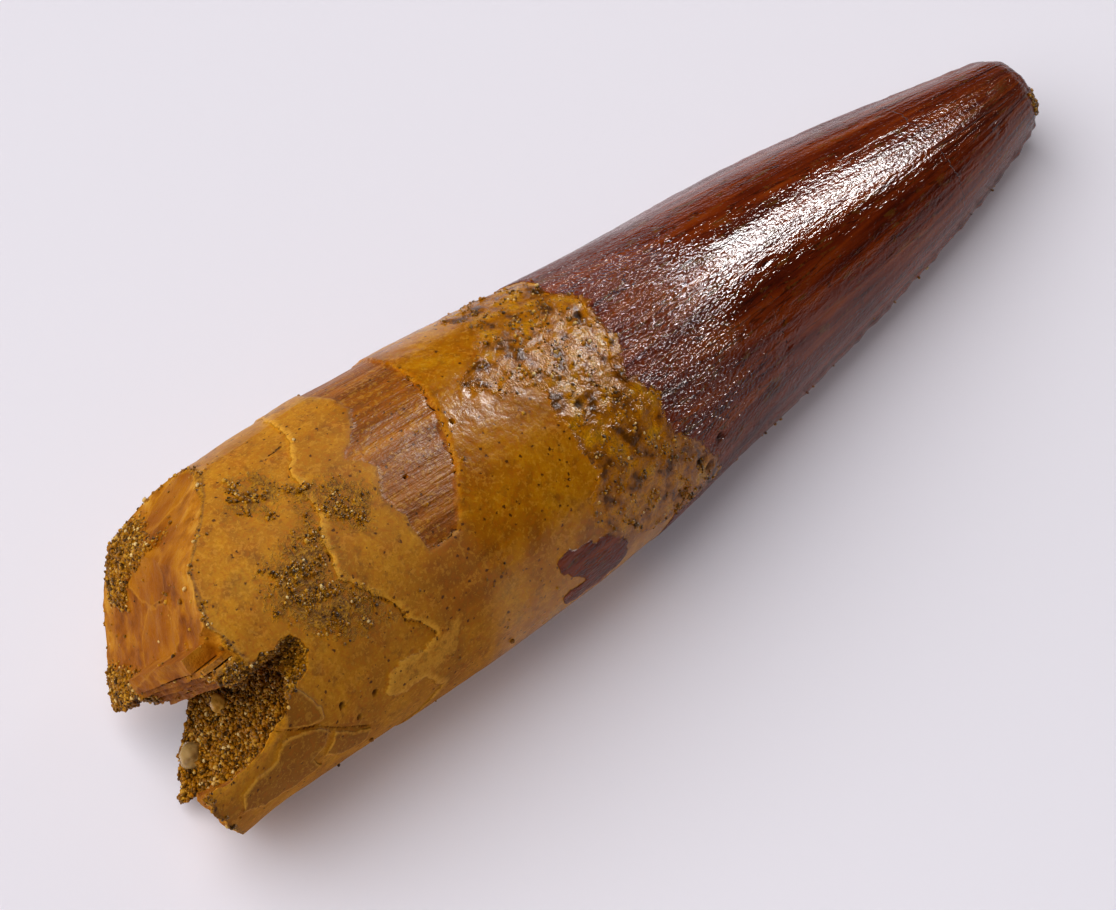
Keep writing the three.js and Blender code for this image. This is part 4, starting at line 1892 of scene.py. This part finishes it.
@dataclass(frozen=True)
class LooseSand:
    """Sand grains stuck to a piece, joined in one mesh."""

    name: str
    count: int
    seed: int
    size: float  # middle grain size in millimetres
    size_spread: float
    sunk: tuple[float, float]  # least and greatest share of a grain that is below the surface
    size_limits: tuple[float, float] = (0.5, 2.0)
    bump: float = 0.1
    bump_pitch: float = 2.2
    bump_phase: float = 6.0  # greatest
    squash: tuple[float, float] = (0.7, 1.15)
    detail: int = 1
    finish: DesertSandstone = field(default_factory=DesertSandstone)

    def build(self, host: bpy.types.Object, chance: Array) -> bpy.types.Object:
        """Scatters the grains over a piece.

        Args:
            host: the piece that they stick to.
            chance: how likely a grain is at each vertex of the piece.

        Returns:
            The dressed grains.
        """
        rng = np.random.default_rng(self.seed)
        foot, normal = self._feet(host, chance, rng)
        spread = np.exp(self.size_spread * rng.normal(size=self.count))
        size = self.size * spread.clip(*self.size_limits)
        ball, faces = round_grain(self.detail)
        wave = np.einsum("nij,vj->nvi", rng.normal(size=(self.count, 3, 3)), ball)
        phase = rng.uniform(0, self.bump_phase, (self.count, 1, 3))
        bumps = 1 + self.bump * np.sin(self.bump_pitch * wave + phase).sum(axis=2)
        turned = np.linalg.qr(rng.normal(size=(self.count, 3, 3)))[0]
        squash = rng.uniform(*self.squash, (self.count, 1, 3))
        grains = np.einsum("nij,nvj->nvi", turned, ball * squash * bumps[:, :, None])
        lift = 0.5 * size * (1 - 2 * rng.uniform(*self.sunk, self.count))
        centre = foot + lift[:, None] * normal
        points = (centre[:, None] + 0.5 * size[:, None, None] * grains).reshape(-1, 3)
        points[:, 2] = np.maximum(points[:, 2], 0.0)
        steps = np.arange(self.count)[:, None, None] * len(ball)
        sand = Shell(points, (faces + steps).reshape(-1, 3)).to_object(self.name, MM)
        give(sand.data, "tone", np.repeat(rng.random(self.count), len(ball)))
        sand.data.materials.append(self.finish.loose())
        sand.data.shade_smooth()
        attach(sand, "root")
        return sand

    def _feet(self, host: bpy.types.Object, chance: Array,
              rng: np.random.Generator) -> tuple[Array, Array]:
        """Picks places on the piece's surface.

        Args:
            host: the piece.
            chance: how likely a grain is at each of its vertices.
            rng: the source of chance.

        Returns:
            The places, in millimetres, and the directions that they face, one row each.
        """
        mesh = host.data
        mesh.calc_loop_triangles()
        corners = np.empty(3 * len(mesh.loop_triangles), dtype=np.int32)
        mesh.loop_triangles.foreach_get("vertices", corners)
        corners = corners.reshape(-1, 3)
        first, second, third = (places_of(mesh) / MM)[corners].transpose(1, 0, 2)
        facing = np.cross(second - first, third - first)
        area = np.linalg.norm(facing, axis=1)
        odds = area * chance[corners].mean(axis=1)
        pick = rng.choice(len(corners), self.count, p=odds / odds.sum())
        u, v = rng.random((2, self.count, 1))
        u, v = np.where(u + v > 1, (1 - u, 1 - v), (u, v))
        foot = first[pick] + u * (second - first)[pick] + v * (third - first)[pick]
        return foot, facing[pick] / area[pick, None]


# ---- studio ----


@dataclass(frozen=True)
class Studio:
    """Camera, floor and soft light."""

    target: tuple[float, float, float] = (-5.0, -1.5, 6.0)
    azimuth: float = -45.8
    elevation: float = 50.0
    distance: float = 300.0
    sensor: float = 36.0
    pixel: float = 0.0637  # millimetres across one picture element at the target
    floor_size: float = 1600.0
    box_centre: tuple[float, float, float] = (0.793, 0.055, 0.652)
    box_ends: tuple[float, float, float] = (0.36, -0.32, -0.2)
    box_distance: float = 420.0
    box_size: tuple[float, float] = (152.0, 60.0)
    box_power: float = 1.8
    fill_centre: tuple[float, float, float] = (-0.5, 0.32, 0.8)
    fill_distance: float = 1600.0
    fill_size: float = 2600.0
    fill_power: float = 43.0
    sky: str = "#dcdbe6"
    sky_strength: float = 0.06

    def build(self) -> None:
        """Makes the camera, the floor and the lights."""
        self._camera()
        self._floor()
        self._soft_box()
        self._fill()
        world = bpy.data.worlds.new("studio")
        world.use_nodes = True
        world.node_tree.nodes["Background"].inputs["Color"].default_value = linear(self.sky)
        world.node_tree.nodes["Background"].inputs["Strength"].default_value = self.sky_strength
        bpy.context.scene.world = world
        view = bpy.context.scene.view_settings
        view.view_transform = "Standard"
        view.look = "Medium High Contrast"

    def _camera(self) -> None:
        """Looks down on the tooth from its root end."""
        turn, tilt = math.radians(self.azimuth), math.radians(self.elevation)
        back = Vector((math.sin(turn) * math.cos(tilt), -math.cos(turn) * math.cos(tilt),
                       math.sin(tilt)))
        lens = bpy.data.cameras.new("camera")
        lens.sensor_width = self.sensor
        lens.lens = self.sensor * self.distance / (IMAGE_WIDTH * self.pixel)
        camera = bpy.data.objects.new("camera", lens)
        camera.location = (Vector(self.target) + self.distance * back) * MM
        camera.rotation_euler = back.to_track_quat("Z", "Y").to_euler()
        bpy.context.scene.collection.objects.link(camera)
        bpy.context.scene.camera = camera

    def _floor(self) -> None:
        """Lays the pale floor."""
        half = self.floor_size / 2
        corners = np.array([[-half, -half, 0], [half, -half, 0], [half, half, 0], [-half, half, 0]])
        floor = Shell(corners, [(0, 1, 2, 3)]).to_object("floor", MM)
        floor.data.materials.append(PaleBoard().material())

    def _soft_box(self) -> None:
        """Hangs the long light that is seen in the tooth's shine."""
        aim = Vector(self.box_centre).normalized()
        lamp = self._lamp("soft_box", aim, Vector(self.box_ends), self.box_distance,
                          self.box_size, self.box_power)
        lamp.visible_diffuse = False

    def _fill(self) -> None:
        """Hangs a wide light that softens the shadows and leaves no reflection."""
        aim = Vector(self.fill_centre).normalized()
        size = (self.fill_size, self.fill_size)
        lamp = self._lamp("fill", aim, Vector((1.0, 0.0, 0.0)), self.fill_distance, size,
                          self.fill_power)
        lamp.visible_glossy = False

    def _lamp(self, name: str, aim: Vector, length: Vector, distance: float,
              size: tuple[float, float], power: float) -> bpy.types.Object:
        """Hangs a rectangular light that faces the tooth.

        Args:
            name: name of the light.
            aim: direction from the tooth to the light.
            length: about which way its long side runs.
            distance: how far away it is, in millimetres.
            size: its sides in millimetres.
            power: its power in watts.

        Returns:
            The light.
        """
        light = bpy.data.lights.new(name, "AREA")
        light.shape = "RECTANGLE"
        light.size, light.size_y = (side * MM for side in size)
        light.energy = power
        length = (length - length.dot(aim) * aim).normalized()
        lamp = bpy.data.objects.new(name, light)
        turned = Matrix((length, aim.cross(length), aim)).transposed().to_4x4()
        turned.translation = (Vector(self.target) + distance * aim) * MM
        lamp.matrix_world = turned
        bpy.context.scene.collection.objects.link(lamp)
        return lamp


def triangles_of(piece: bpy.types.Object) -> int:
    """Number of triangles in a piece's mesh."""
    return sum(len(face.vertices) - 2 for face in piece.data.polygons)


def main() -> None:
    """Builds every piece in order and reports it."""
    logging.basicConfig(level=logging.INFO, format="%(message)s")
    Studio().build()
    break_form = BreakForm(ToothForm())
    tooth = ToothPiece()
    tooth_looks = tooth.build(break_form)
    rock = MatrixPiece().build(break_form, tooth)
    pieces = [
        tooth_looks,
        rock,
        Pebble("quartz_pebble", along=5.2, out=5.1, radius=0.85, colour="#c8a468").build(break_form),
        Pebble("cream_pebble", along=2.8, out=3.3, radius=0.62, colour="#f4bc58").build(break_form),
        LooseSand("sand_on_tooth", 9000, Seed.SAND_ON_TOOTH, size=0.18, size_spread=0.35,
                  sunk=(0.2, 0.75)).build(tooth_looks, SandCover(tooth.form).chance(tooth_looks)),
        LooseSand("sand_in_break", 8000, Seed.SAND_IN_BREAK, size=0.19, size_spread=0.4,
                  sunk=(0.15, 0.7)).build(rock, read(rock.data, "front")),
    ]
    for piece in pieces:
        log.info("%s: %d triangles", piece.name, triangles_of(piece))


if __name__ == "__main__":
    main()
